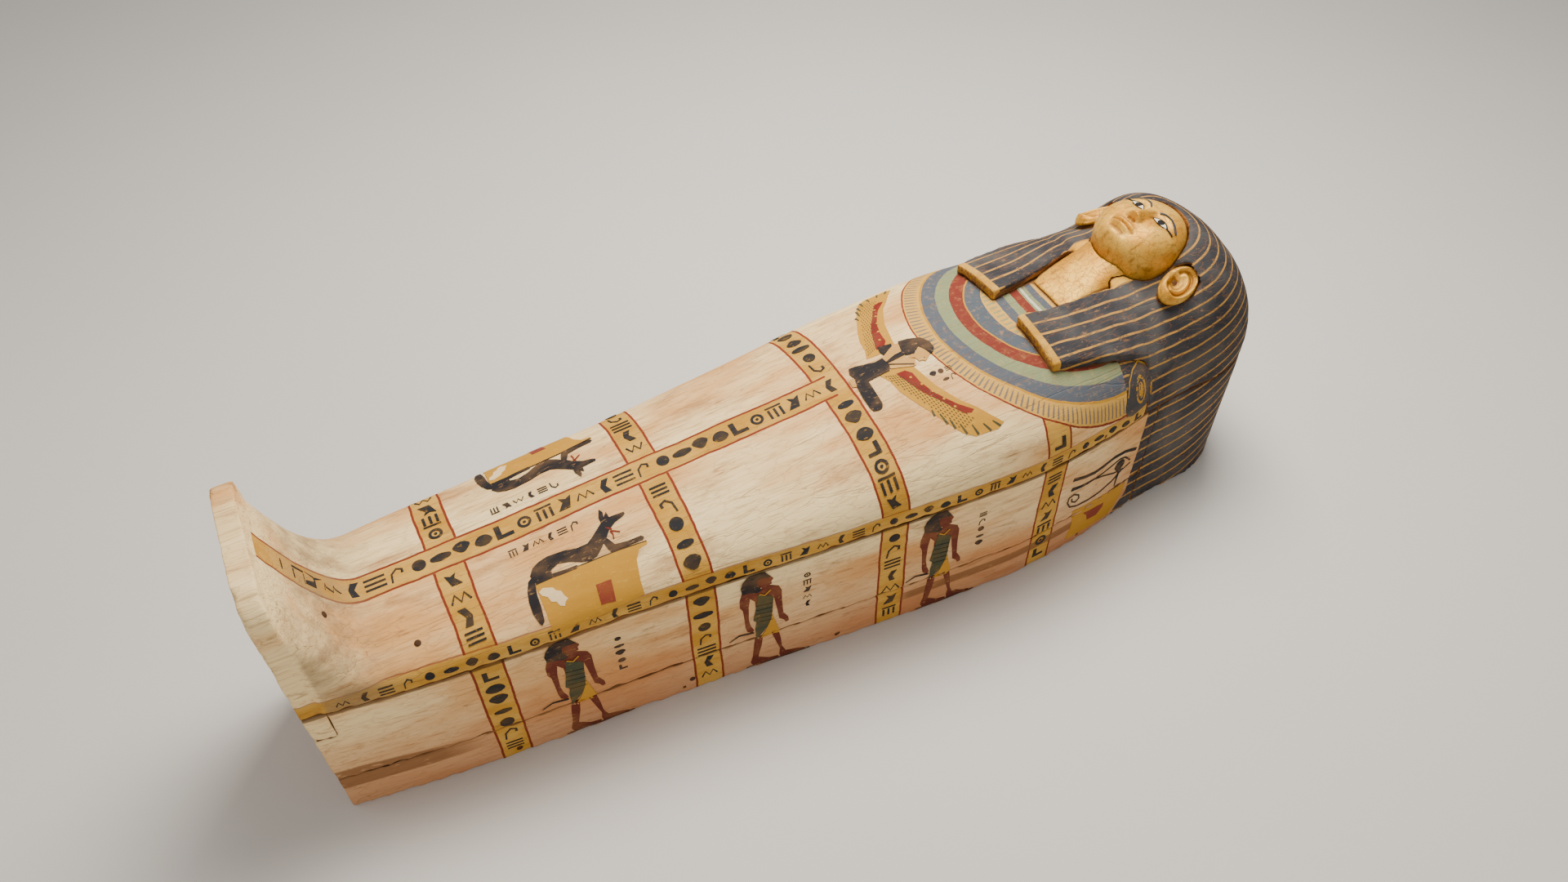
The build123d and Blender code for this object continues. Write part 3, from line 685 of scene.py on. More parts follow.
def relief(name, segments, rounds, place, depth_direction, depth, finish, body, slot, node):
    """A carved piece: a round grid put in its place point by point, with its rim drawn back and closed."""
    shape = bmesh.new()
    bmesh.ops.create_grid(shape, x_segments=segments, y_segments=segments, size=1)
    for vertex in shape.verts:
        u, v = vertex.co.x, vertex.co.y
        vertex.co = place(u * sqrt(1 - v * v / 2), v * sqrt(1 - u * u / 2))
    rim = [edge for edge in shape.edges if edge.is_boundary]
    wall = bmesh.ops.extrude_edge_only(shape, edges=rim)["geom"]
    low_rim = [part for part in wall if isinstance(part, bmesh.types.BMVert)]
    bmesh.ops.translate(shape, verts=low_rim, vec=depth_direction * depth)
    bmesh.ops.holes_fill(shape, edges=[edge for edge in shape.edges if edge.is_boundary], sides=0)
    bmesh.ops.recalc_face_normals(shape, faces=shape.faces)
    shape.verts.index_update()
    # How deep each point lies in a hollow, for the painted shade of the gold finish.
    hollow = hollowness(shape, rounds)
    for face in shape.faces:
        face.smooth = len(face.verts) == 4
    mesh = bpy.data.meshes.new(name)
    shape.to_mesh(mesh)
    shape.free()
    mesh.attributes.new("hollow", "FLOAT", "POINT").data.foreach_set("value", hollow)
    mesh.materials.append(finish)
    piece = bpy.data.objects.new(name, mesh)
    bpy.context.collection.objects.link(piece)
    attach(piece, body)
    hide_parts(node)
    return piece


def swell(along, across, centre, reach):
    """1 at a feature's centre, fading away over its reach along and across the face."""
    return 2.718 ** (-(((along - centre[0]) / reach[0]) ** 2) - ((across - centre[1]) / reach[1]) ** 2)


def bar_swell(along, across, middle, thick, half_wide):
    """1 on a bar across the face, with rounded ends."""
    return 2.718 ** (-(((along - middle) / thick) ** 2) - (across / half_wide) ** 4)


def ramp(value, start, end):
    """0 at start, 1 at end, smooth between."""
    t = min(1.0, max(0.0, (value - start) / (end - start)))
    return t * t * (3 - 2 * t)


def face_height(m, y):
    """Height of the face above its dome in millimetres; m runs from chin to brow, y across."""
    y = abs(y)
    nose_rise = 2.5 + 13.0 * ramp(m, 26, -20)
    nose = nose_rise * ramp(m, -31, -23) * (1 - ramp(m, 18, 40)) * 2.718 ** (-((y / (7.5 + 3.5 * ramp(m, 10, -22))) ** 2))
    lift = nose
    lift += 5.4 * swell(m, y, (-24, 10.5), (5.6, 5.0))
    lift -= 3.4 * swell(m, y, (-30, 6), (3.0, 3.4))
    lift -= 7.5 * swell(m, y, (13, 31), (12, 18))
    lift += 6.2 * swell(m, y, (13, 31), (7.0, 13))
    lift += 3.0 * swell(m, y, (30, 30), (5.5, 26))
    lift -= 2.0 * swell(m, y, (10, 12), (10, 5))
    lift += 2.6 * swell(m, y, (-16, 46), (20, 18))
    lift -= 1.2 * swell(m, 0, (-37, 0), (5, 5)) * 2.718 ** (-((y / 3.2) ** 2))
    lift += 5.6 * bar_swell(m, y, -44.5, 4.6, 23)
    lift += 6.2 * bar_swell(m, y, -54.5, 5.2, 19)
    lift -= 7.0 * bar_swell(m, y, -49.4, 1.5, 24)
    lift -= 1.8 * swell(m, y, (-49.5, 27), (5, 4))
    lift -= 3.6 * bar_swell(m, y, -63, 4.0, 20)
    lift += 7.5 * swell(m, y, (-76, 0), (11, 21))
    return lift


def face_place(u, v):
    """Where a point of the unit disc lies on the face."""
    reach = hypot(u, v)
    dome = mask_dome * max(0.0, 1 - reach**3) ** 0.42
    along, across = u * mask_half.x * 1000, v * mask_half.y * 1000
    fade = 1 - ramp(reach, 0.90, 1.0)
    height = mask_edge + dome + 0.001 * fade * face_height(along, across)
    return Vector((mask_middle.x + u * mask_half.x, v * mask_half.y, height))


down = Vector((0, 0, -1))
face = relief("carved_face", 150, 14, face_place, down, mask_edge - mask_low.z, gold_paint, "lid", "gold_paint", "mask")
print("face top", round(max(v.co.z for v in face.data.vertices), 4))

# %% [markdown]
# An ear is a flat oval that leans back on the side of the wig. A raised rim runs round it, with a
# hollow inside, a curved fold, and a full lobe at the lower end.

# %% Ears
ear_tilt = 18 * pi / 180
ear_half = (0.050, 0.030)
ear_sunk = 0.0035


def ear_directions(node):
    """The middle of an ear, its outward direction, and its long and short axes."""
    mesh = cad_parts[node].data
    low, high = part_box(node)
    side = 1 if low.y + high.y > 0 else -1
    outward = Vector()
    for triangle in mesh.polygons:
        if triangle.normal.z > 0.3 and abs(triangle.normal.x) < 0.02:
            outward += triangle.area * triangle.normal
    outward.normalize()
    lengthwise = Vector((1, 0, 0))
    inward = Vector((0, -side, 0))
    inward = (inward - inward.dot(outward) * outward).normalized()
    long_axis = cos(ear_tilt) * lengthwise + sin(ear_tilt) * inward
    short_axis = cos(ear_tilt) * inward - sin(ear_tilt) * lengthwise
    return (low + high) / 2, outward, long_axis, short_axis


def ear_height(u, v):
    """Height of the ear's surface above its base; u runs from lobe to top, v from back to front."""
    reach = hypot(u, v)
    edge = 1 - ramp(reach, 0.92, 1.0) ** 2
    opening = swell(u, v, (-0.02, 1.0), (0.52, 0.80))
    rim = 2.718 ** (-(((reach - 0.80) / 0.13) ** 2)) * (1 - opening)
    inner_reach = hypot(u + 0.04, v - 0.10)
    fold = 2.718 ** (-(((inner_reach - 0.46) / 0.10) ** 2)) * ramp(0.42 - v, 0.0, 0.30)
    groove = 2.718 ** (-(((reach - 0.62) / 0.08) ** 2)) * ramp(0.30 - v, 0.0, 0.30)
    bowl = swell(u, v, (-0.02, 0.26), (0.30, 0.34))
    root = swell(u, v, (0.22, 0.42), (0.09, 0.34))
    lobe = swell(u, v, (-0.72, 0.14), (0.22, 0.42))
    flap = swell(u, v, (-0.20, 0.74), (0.15, 0.13))
    raised = 0.0080 * rim + 0.0052 * fold + 0.0040 * root + 0.0060 * lobe + 0.0050 * flap
    return edge * (0.0030 + raised - 0.0026 * groove - 0.0095 * bowl)


for side in ("left", "right"):
    middle, outward, long_axis, short_axis = ear_directions(f"ear_{side}")

    def ear_place(u, v, middle=middle, outward=outward, long_axis=long_axis, short_axis=short_axis):
        """Where a point of the unit disc lies on this ear."""
        flat = middle + u * ear_half[0] * long_axis + v * ear_half[1] * short_axis
        return flat + (ear_height(u, v) - ear_sunk) * outward

    relief(
        f"carved_ear_{side}", 72, 26, ear_place, -outward, 0.005, gold_paint, "lid", "gold_paint", f"ear_{side}"
    )
print("ears carved")

# %% [markdown]
# The painter's figures and signs are thin coats of paint. Each is drawn flat as a closed curve,
# filled, cut fine, and laid on the wood: every point finds its place on the surface below it.

# %% The skins that paint is laid on


def skin_of(pieces):
    """The joined surface of some pieces, for finding places on it."""
    points = []
    faces = []
    for piece in pieces:
        start = len(points)
        points.extend(v.co.copy() for v in piece.data.vertices)
        faces.extend([start + i for i in face.vertices] for face in piece.data.polygons)
    return BVHTree.FromPolygons(points, faces)


lid_skin = skin_of([lid_body, wig])
box_skin = skin_of(box_pieces)
face_skin = skin_of([face])
coat = 0.0007


def lifted(hit):
    """A point a little off a surface that a ray or a search has found."""
    place, normal = hit[0], hit[1]
    return place + coat * normal


def on_side(skin, station, height, side):
    """The place on a flank at a station and a height."""
    start = Vector((station - half_length, side * 0.6, height))
    hit = skin.ray_cast(start, Vector((0, -side, 0)))
    if hit[0] is None or hit[0].y * side < 0.04:
        hit = skin.find_nearest(Vector((station - half_length, side * 0.25, height)))
    return lifted(hit)


def on_top(skin, station, across):
    """The place seen from straight above."""
    return lifted(skin.ray_cast(Vector((station - half_length, across, 1.0)), down))


def girth_row(station):
    """Places round the lid at one station from seam to seam, and their distances from the middle."""
    steps = 64
    places = []
    for i in range(-steps, steps + 1):
        angle = i / steps * pi / 2
        outward = Vector((0, sin(angle), cos(angle)))
        axis = Vector((station - half_length, 0, seam + 0.002))
        places.append(lid_skin.ray_cast(axis + 0.6 * outward, -outward)[0])
    distances = [0.0]
    for before, after in zip(places, places[1:]):
        distances.append(distances[-1] + (after - before).length)
    return places, [distance - distances[steps] for distance in distances]


row_step = 0.010
girth_rows = {}


def row_at(station):
    """The girth row nearest to a station, worked out once."""
    index = round(station / row_step)
    if index not in girth_rows:
        girth_rows[index] = girth_row(index * row_step)
    return girth_rows[index]


def round_lid(station, girth):
    """The place on the lid at a station and a distance round it from the middle."""
    places, distances = row_at(station)
    i = max(k for k in range(len(distances) - 1) if k == 0 or distances[k] <= girth)
    share = (girth - distances[i]) / (distances[i + 1] - distances[i])
    place = places[i].lerp(places[i + 1], min(1.0, share))
    place.x = station - half_length
    return lifted(lid_skin.find_nearest(place))


def girth_reach(station):
    """The distance round the lid from the middle down to the seam."""
    return row_at(station)[1][-1]


ridge_stations = [0.044 + 0.008 * i for i in range(124)]
ridge_places = [lid_skin.ray_cast(Vector((s - half_length, 0, 1.0)), down)[0] for s in ridge_stations]
ridge_distances = [0.0]
for before, after in zip(ridge_places, ridge_places[1:]):
    ridge_distances.append(ridge_distances[-1] + (after - before).length)


def ridge_station(distance):
    """The station at a distance along the ridge from the foot."""
    i = max(k for k in range(len(ridge_distances) - 1) if k == 0 or ridge_distances[k] <= distance)
    share = (distance - ridge_distances[i]) / (ridge_distances[i + 1] - ridge_distances[i])
    return ridge_stations[i] + share * (ridge_stations[i + 1] - ridge_stations[i])


print("ridge length", round(ridge_distances[-1], 3), "girth at the collar", round(girth_reach(1.2), 3))


# %% A coat of paint from flat outlines
def flat_shape(outlines):
    """A flat mesh inside closed outlines; an outline within another cuts a hole in it."""
    curve = bpy.data.curves.new("outline", "CURVE")
    curve.dimensions = "2D"
    curve.fill_mode = "BOTH"
    curve.resolution_u = 4
    for kind, points in outlines:
        spline = curve.splines.new("BEZIER" if kind == "round" else "POLY")
        if kind == "round":
            spline.bezier_points.add(len(points) - 1)
            for knot, (u, v) in zip(spline.bezier_points, points):
                knot.co = (u, v, 0)
                knot.handle_left_type = knot.handle_right_type = "AUTO"
        else:
            spline.points.add(len(points) - 1)
            for knot, (u, v) in zip(spline.points, points):
                knot.co = (u, v, 0, 1)
        spline.use_cyclic_u = True
    holder = bpy.data.objects.new("outline", curve)
    mesh = bpy.data.meshes.new_from_object(holder)
    bpy.data.objects.remove(holder)
    bpy.data.curves.remove(curve)
    return mesh


def painted(name, shapes, place, finish, body, fineness=0.010):
    """One coat of paint: each shape is a list of outlines, and place() gives the spot for u and v."""
    coat_shape = bmesh.new()
    for outlines in shapes:
        mesh = flat_shape(outlines)
        coat_shape.from_mesh(mesh)
        bpy.data.meshes.remove(mesh)
    bmesh.ops.remove_doubles(coat_shape, verts=coat_shape.verts, dist=1e-5)
    for _ in range(6):
        long_edges = [edge for edge in coat_shape.edges if edge.calc_length() > fineness]
        if not long_edges:
            break
        bmesh.ops.subdivide_edges(coat_shape, edges=long_edges, cuts=1)
        bmesh.ops.triangulate(coat_shape, faces=coat_shape.faces)
    for vertex in coat_shape.verts:
        vertex.co = place(vertex.co.x, vertex.co.y)
    mesh = bpy.data.meshes.new(name)
    coat_shape.to_mesh(mesh)
    coat_shape.free()
    mesh.materials.append(finish)
    piece = bpy.data.objects.new(name, mesh)
    bpy.context.collection.objects.link(piece)
    thickness = piece.modifiers.new("thickness", "SOLIDIFY")
    thickness.thickness = 0.0006
    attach(piece, body)
    return piece


def moved(shapes, du, dv, size=1.0, turn=0.0, mirror=1):
    """The same shapes at another place, size and turn."""
    c, s = cos(turn) * size, sin(turn) * size
    return [
        [(kind, [(du + c * u * mirror - s * v, dv + s * u * mirror + c * v) for u, v in points]) for kind, points in outlines]
        for outlines in shapes
    ]


def stroke(points, start_width, end_width):
    """The outline of one brush stroke through some points, from its first width to its last."""
    left = []
    right = []
    for i, (u, v) in enumerate(points):
        before = points[max(i - 1, 0)]
        after = points[min(i + 1, len(points) - 1)]
        length = hypot(after[0] - before[0], after[1] - before[1])
        across = (-(after[1] - before[1]) / length, (after[0] - before[0]) / length)
        half = (start_width + (end_width - start_width) * i / (len(points) - 1)) / 2
        left.append((u + half * across[0], v + half * across[1]))
        right.append((u - half * across[0], v - half * across[1]))
    return [("straight", left + right[::-1])]


def disc(u, v, radius, squash=1.0):
    """The outline of a round spot."""
    turns = [i * pi / 4 for i in range(8)]
    return ("round", [(u + radius * cos(a), v + squash * radius * sin(a)) for a in turns])


def block(low_u, low_v, high_u, high_v):
    """The outline of an upright rectangle."""
    return ("straight", [(low_u, low_v), (high_u, low_v), (high_u, high_v), (low_u, high_v)])


# %% [markdown]
# Old inks are not even: the brush ran dry, and flakes have come off. Every painted figure shares
# one kind of finish, its pigment over the colour that shows through where it is worn.


# %% Pigments for figures
def worn_pigment(name, colour, under, wear):
    """A thin pigment, worn through in flecks to the colour below it."""
    finish, point = new_finish(name)
    fleck = cloudy(point, (70, 160, 160), 5, 0.7)
    wash = cloudy(point, (18, 30, 30), 4)
    faded = tuple(0.88 * part + 0.12 * below for part, below in zip(colour, under))
    tone = lay(wash.rise(0.40, 0.70), colour, faded)
    tone = lay(wear * fleck.rise(0.58, 0.68), tone, under)
    settle(finish, tone, 0.62 + 0.25 * wash, fleck, 0.0006)
    return finish


ink = worn_pigment("black_ink", ink_black, ochre, 0.5)
jackal_black = worn_pigment("black_on_cream", pigment(44, 42, 44), warm_cream, 0.35)
skin_red = worn_pigment("red_brown_skin", pigment(104, 52, 42), warm_cream, 0.35)
cloth_green = worn_pigment("dark_green_cloth", pigment(70, 74, 58), ochre, 0.35)
collar_dark = worn_pigment("shoulder_grey", pigment(70, 70, 72), warm_cream, 0.3)
shrine_yellow = worn_pigment("yellow_ochre", ochre, ochre_pale, 0.6)
door_red = worn_pigment("red_ochre", pigment(136, 64, 50), ochre, 0.4)
wing_red = worn_pigment("wing_red", pigment(124, 44, 36), pigment(196, 120, 90), 0.6)
eye_white = worn_pigment("eye_white", pigment(226, 216, 192), cream, 0.3)
eye_black = worn_pigment("eye_black", pigment(40, 38, 38), hair_black, 0.2)
brow_blue = worn_pigment("brow_blue", pigment(62, 68, 76), gold_deep, 0.3)
worn_cream = worn_pigment("cream_showing", pigment(234, 204, 156), cream, 0.8)
peg_brown = worn_pigment("peg_end", pigment(70, 52, 40), wood_brown, 0.5)

# %% [markdown]
# The real bands carry a line of writing. Here it is replaced by a row of plain shapes that spell
# nothing, of about the same size and weight, so that the bands look as busy as the real ones.

# %% Signs that spell nothing
sign_size = 0.038
signs = [
    [[disc(0, 0.02, 0.30)]],
    [[disc(0, 0, 0.34), disc(0, 0, 0.20)], [disc(0, 0, 0.08)]],
    [[block(-0.42, 0.20, 0.42, 0.30)], [block(-0.42, -0.05, 0.42, 0.05)], [block(-0.42, -0.30, 0.42, -0.20)]],
    [[("round", [(-0.36, -0.18), (0.36, -0.18), (0.30, 0.12), (0, 0.26), (-0.30, 0.12)])]],
    [stroke([(-0.42, -0.2), (-0.21, 0.2), (0, -0.2), (0.21, 0.2), (0.42, -0.2)], 0.09, 0.09)],
    [[("round", [(-0.44, 0), (-0.2, 0.16), (0.2, 0.16), (0.44, 0), (0.2, -0.16), (-0.2, -0.16)])]],
    [[block(-0.40, 0.28, 0.40, 0.38)], [block(-0.36, -0.36, -0.24, 0.20)], [block(-0.06, -0.36, 0.06, 0.20)],
     [block(0.24, -0.36, 0.36, 0.20)]],
    [stroke([(-0.30, -0.40), (-0.24, 0.10), (0.02, 0.34), (0.26, 0.22), (0.24, 0.02)], 0.08, 0.13)],
    [[("straight", [(-0.36, -0.34), (0.36, -0.34), (0.36, -0.16), (-0.12, -0.16), (-0.12, 0.36), (-0.36, 0.36)])]],
    [[("straight", [(-0.10, -0.40), (0.22, -0.40), (0.06, -0.02), (0.30, 0.38), (-0.02, 0.38), (-0.20, 0.0)])]],
    [[("round", [(-0.40, 0.24), (0.40, 0.24), (0.24, -0.10), (0, -0.24), (-0.24, -0.10)])]],
    [[("straight", [(-0.34, -0.30), (-0.06, 0.10), (-0.18, 0.36), (0.10, 0.22), (0.36, 0.34), (0.16, -0.30)])]],
]


def row_of_signs(places, first, size, turn):
    """Signs at the given places, each the next in the list, from the first one on."""
    shapes = []
    for i, (u, v) in enumerate(places):
        shapes += moved(signs[(first + 5 * i) % len(signs)], u, v, size * (0.92 + 0.08 * (i % 3)), turn)
    return shapes


def evenly(start, end, pitch):
    """Places from start to end, about a pitch apart."""
    count = max(1, round((end - start) / pitch))
    return [start + (i + 0.5) * (end - start) / count for i in range(count)]


sign_pitch = 0.036
for index, station in enumerate(band_stations):
    inner = 0.036 if index < 3 else 0.268
    outer = girth_reach(station) - 0.040
    for side in (-1, 1):
        places = [(side * g, station) for g in evenly(inner, outer, sign_pitch)]
        shapes = row_of_signs(places, 3 * index + side, sign_size, side * pi / 2)
        label = "left" if side < 0 else "right"
        painted(
            f"signs_lid_band_{index + 1}_{label}",
            shapes,
            lambda u, v: round_lid(v, u),
            ink,
            "lid",
        )
        box_places = [(station, z) for z in evenly(0.018, seam - 0.012, sign_pitch)]
        painted(
            f"signs_box_band_{index + 1}_{label}",
            row_of_signs(box_places, 2 * index + 1 - side, sign_size, 0.0),
            lambda u, v, side=side: on_side(box_skin, u, v, side),
            ink,
            "case_box",
        )

ridge_places_of_signs = [(distance, 0.0) for distance in evenly(0.03, ridge_distances[-1] - 0.01, sign_pitch)]
painted(
    "signs_lid_middle",
    row_of_signs(ridge_places_of_signs, 1, sign_size, 0.0),
    lambda u, v: round_lid(ridge_station(u), v),
    ink,
    "lid",
)
for side, label in ((-1, "left"), (1, "right")):
    edge_places = [(station, seam + 0.0185) for station in evenly(0.05, 1.55, 0.033)]
    painted(
        f"signs_lid_edge_{label}",
        row_of_signs(edge_places, 4, 0.025, 0.0),
        lambda u, v, side=side: on_side(lid_skin, u, v, side),
        ink,
        "lid",
    )
print("signs painted")

# %% [markdown]
# Two black jackals lie on yellow shrines over the shins, one on each side, and guard the case.
# Each is one outline, with a tail that hangs down beside the shrine and a red ribbon at the neck.

# %% Jackals
mm = 0.001
jackal_station = 0.390
jackal_girth = 0.131
jackal_outline = [
    (11, 12), (7, 28), (15, 39), (28, 45), (44, 48), (71, 45), (92, 39), (111, 39), (121, 45), (135, 56),
    (145, 64), (145, 75), (151, 90), (155, 82), (153, 72), (160, 80), (161, 68), (186, 66), (187, 62),
    (182, 59), (167, 55), (152, 45), (143, 34), (151, 17), (172, 13), (195, 12), (199, 8), (196, 4), (172, 5),
    (141, 7), (138, 14), (135, 27), (127, 19), (117, 11), (104, 9), (91, 13), (72, 23), (55, 28), (42, 23),
    (40, 16), (63, 13), (81, 12), (84, 9), (79, 6), (47, 8),
]
jackal_tail = [(12, 26), (1, 20), (-6, 5), (-10, -12), (-11, -33), (-7, -50), (-4, -56), (2, -50), (5, -28), (6, -8), (10, 14)]
jackal = [[("straight", jackal_outline)], [("straight", jackal_tail)]]
ribbon = [
    stroke([(153, 43), (160, 39), (167, 34)], 2.4, 1.8),
    stroke([(153, 43), (155, 35), (153, 27)], 2.4, 1.8),
    stroke([(148, 52), (157, 45)], 2.6, 2.2),
]
shrine = [
    [("straight", [(9, 10), (80, 9), (141, 6), (200, 0), (199, -5), (184, -7), (173, -22), (166, -56), (165, -80),
                   (8, -80), (9, -42)])]
]
flaked_patch = [[("straight", [(10, -4), (18, 0), (25, -3), (33, -6), (36, -13), (43, -17), (45, -26), (49, -33),
                               (43, -36), (40, -42), (33, -38), (30, -30), (23, -27), (20, -17), (13, -12)])]]
shrine_door = [[("straight", [(97, -32), (123, -34), (118, -70), (94, -65)])]]
shrine_lines = [stroke([(9, 10), (80, 9), (141, 6), (200, 0)], 1.4, 1.4)]
for side, label in ((-1, "left"), (1, "right")):

    def beside_shins(u, v, side=side):
        """The place on one side of the shins, u towards the head and v up towards the ridge."""
        return round_lid(jackal_station + u, side * (jackal_girth - v))

    for part, shapes, finish in (
        ("shrine", shrine, shrine_yellow),
        ("shrine_patch", flaked_patch, worn_cream),
        ("shrine_door", shrine_door, door_red),
        ("shrine_lines", shrine_lines, jackal_black),
        ("jackal", jackal, jackal_black),
        ("jackal_ribbon", ribbon, wing_red),
    ):
        layer = 0.0 if part == "shrine" else 1.0
        painted(
            f"{part}_{label}",
            moved(shapes, 0, 0, mm),
            lambda u, v, layer=layer: beside_shins(u, v) + Vector((0, 0, 0.0006 * layer)),
            finish,
            "lid",
        )
    captions = [(-0.003 + 0.0215 * i, 0.081) for i in range(6)]
    painted(f"jackal_caption_{label}", row_of_signs(captions, 6, 0.020, 0.0), beside_shins, jackal_black, "lid")

# %% [markdown]
# Over the chest kneels a winged figure with her arms along her wings. The wings are yellow with
# a red front edge, rows of small scales, and long dark feather tips.

# %% Winged figure
wing_middle = 5
wing = [[("straight", [(27, 110), (30, 128), (38, 148), (56, 152), (93, 161), (122, 175), (142, 186), (163, 205),
                       (187, 222), (208, 239), (215, 224), (213, 207), (211, 180), (196, 160), (174, 146),
                       (151, 133), (127, 121), (103, 109), (77, 99), (50, 95), (29, 86)])]]
wing_edge = [[("straight", [(40, 113), (41, 130), (52, 139), (75, 141), (104, 150), (125, 163), (145, 177), (166, 199),
                            (170, 192), (166, 180), (149, 167), (129, 155), (108, 140), (87, 129), (65, 121)])]]
tip_marks = [
    ((136, 130), (148, 129)), ((149, 139), (171, 143)), ((166, 150), (184, 152)), ((180, 163), (201, 167)),
    ((190, 182), (210, 186)), ((196, 202), (213, 210)), ((198, 220), (212, 230)),
]
feathers = [stroke(mark, 2.0, 4.4) for mark in tip_marks]
scales = []
for i in range(24):
    along = (i + 0.5) / 24
    low = (33 + 162 * along, 92 + 70 * along**1.2)
    high = (44 + 138 * along, 116 + 76 * along)
    for j in range(6):
        up = (j + 0.4 + 0.5 * (i % 2)) / 6.2
        u, v = low[0] + up * (high[0] - low[0]), low[1] + up * (high[1] - low[1])
        scales.append(stroke([(u - 1.6, v - 0.8), (u + 1.6, v + 0.8)], 1.2, 1.2))
spots = [[disc(60 + 22 * i, 131 + 9.8 * i, 2.4)] for i in range(5)]
hair = [[("straight", [(-27, 155), (-24, 174), (-15, 195), (2, 204), (19, 204), (27, 197), (29, 190), (16, 187),
                       (3, 181), (8, 172), (15, 165), (9, 149), (11, 127), (12, 111), (7, 112), (0, 133),
                       (-1, 148), (-12, 151)])]]
face_profile = [[("straight", [(3, 180), (14, 187), (28, 190), (34, 182), (40, 174), (35, 170), (35, 164), (23, 161),
                               (16, 146), (13, 162), (11, 171)])]]
torso = [[("straight", [(-5, 110), (-26, 145), (-23, 154), (0, 150), (16, 148), (26, 160), (40, 154), (40, 147),
                        (26, 111), (19, 109)])]]
bust = [[("straight", [(-34, 117), (-29, 143), (-22, 140), (-11, 117), (-20, 114)])]]
kilt = [[("straight", [(-15, 47), (-13, 61), (-3, 94), (-5, 110), (17, 113), (28, 107), (29, 86), (30, 62), (55, 61),
                       (85, 60), (92, 56), (94, 49), (91, 39), (80, 36), (56, 36), (29, 39), (12, 45), (-3, 42)])]]
toes = [[("straight", [(10, 44), (31, 39), (27, 32), (10, 33)])]]
straps = [stroke([(15, 112), (37, 152)], 3, 3), stroke([(31, 175), (33, 177)], 1.6, 1.6)]
figure_origin = 1.000


def over_chest(u, v):
    """The place over the chest, u from the middle towards the left side and v towards the head."""
    return round_lid(figure_origin + v, -u)


both_wings = moved(wing, 0, 0) + moved(wing, 2 * wing_middle, 0, mirror=-1)
both_edges = moved(wing_edge, 0, 0) + moved(wing_edge, 2 * wing_middle, 0, mirror=-1)
both_feathers = moved(feathers + scales, 0, 0) + moved(feathers + scales, 2 * wing_middle, 0, mirror=-1)
both_spots = moved(spots, 0, 0) + moved(spots, 2 * wing_middle, 0, mirror=-1)
skin_ochre = worn_pigment("yellow_skin", pigment(196, 146, 78), cream, 0.3)
for layer, (part, shapes, finish) in enumerate(
    (
        ("wings", both_wings, shrine_yellow),
        ("wing_edges", both_edges, wing_red),
        ("wing_feathers", both_feathers, cloth_green),
        ("wing_spots", both_spots, shrine_yellow),
        ("figure_torso", torso + face_profile + toes, skin_ochre),
        ("figure_kilt", kilt + bust, jackal_black),
        ("figure_straps", straps, jackal_black),
        ("figure_hair", hair, jackal_black),
    )
):
    painted(
        part,
        moved(shapes, 0, 0, mm),
        lambda u, v, layer=layer: over_chest(u, v) + Vector((0, 0, 0.00035 * layer)),
        finish,
        "lid",
    )
captions = [(0.072 + 0.019 * (i % 2), 0.201 - 0.015 * (i // 2)) for i in range(5)]
painted("figure_caption", row_of_signs(captions, 2, 0.016, pi / 2), over_chest, jackal_black, "lid")
print("figures on the lid painted")

# %% [markdown]
# On each side of the box stand three men with long dark wigs, red-brown skin, green tunics and
# yellow kilts. One drawing serves all six, as it did for the painter.

# %% Standing men
man_wig = [[("straight", [(-55, 245), (-57, 262), (-53, 275), (-45, 286), (-32, 290), (-12, 289), (-3, 274), (-10, 273),
                          (-19, 275), (-27, 272), (-27, 256), (-22, 247), (-20, 240), (-27, 236), (-43, 243)])]]
man_face = [[("straight", [(-28, 274), (-19, 276), (-10, 274), (-3, 274), (3, 263), (-1, 257), (0, 249), (-8, 247), (-14, 243),
                           (-22, 247), (-26, 256)])]]
man_body = [[("straight", [(-43, 245), (-27, 240), (-14, 244), (-4, 246), (13, 234), (18, 219), (9, 202), (3, 206),
                           (-1, 169), (-31, 188), (-32, 209), (-42, 224)])]]
man_limbs = [
    [("straight", [(-55, 245), (-43, 245), (-41, 219), (-44, 198), (-45, 157), (-42, 136), (-36, 118), (-40, 112), (-49, 120),
                   (-52, 136), (-53, 162), (-55, 192), (-60, 204), (-60, 224)])],
    [("straight", [(13, 234), (18, 219), (18, 184), (20, 146), (29, 127), (30, 115), (24, 113), (20, 123), (12, 131), (10, 151),
                   (6, 183), (3, 206)])],
    [("straight", [(-34, 99), (-20, 92), (-23, 64), (-31, 24), (-10, 9), (8, 6), (8, 1), (-42, 1), (-46, 12), (-41, 33), (-38, 70)])],
    [("straight", [(-4, 93), (10, 92), (14, 63), (16, 35), (23, 15), (48, 8), (60, 4), (60, 1), (12, 1), (10, 12), (12, 28), (5, 56)])],
]
man_tunic = [[("straight", [(-26, 229), (-18, 220), (-6, 216), (2, 207), (-1, 161), (-3, 141), (-12, 116), (-33, 86), (-34, 122),
                            (-31, 143), (-37, 151), (-31, 188)])]]
man_kilt = [[("straight", [(-2, 156), (11, 95), (3, 87), (-24, 87), (-12, 114), (-3, 140)])]]
man_collar = [stroke([(-24, 229), (-14, 221), (-3, 232)], 3, 3)]
tunic_folds = [stroke([(-31, 194 - 13 * i), (0, 189 - 13 * i)], 1.0, 1.0) for i in range(5)]
ground_line = [stroke([(-84, 106), (-65, 116), (-37, 111)], 1.6, 4.0), stroke([(-56, 0), (0, 0), (70, 1)], 1.6, 2.4)]
man_stations = (0.430, 0.772, 1.118)
man_floor = 0.008
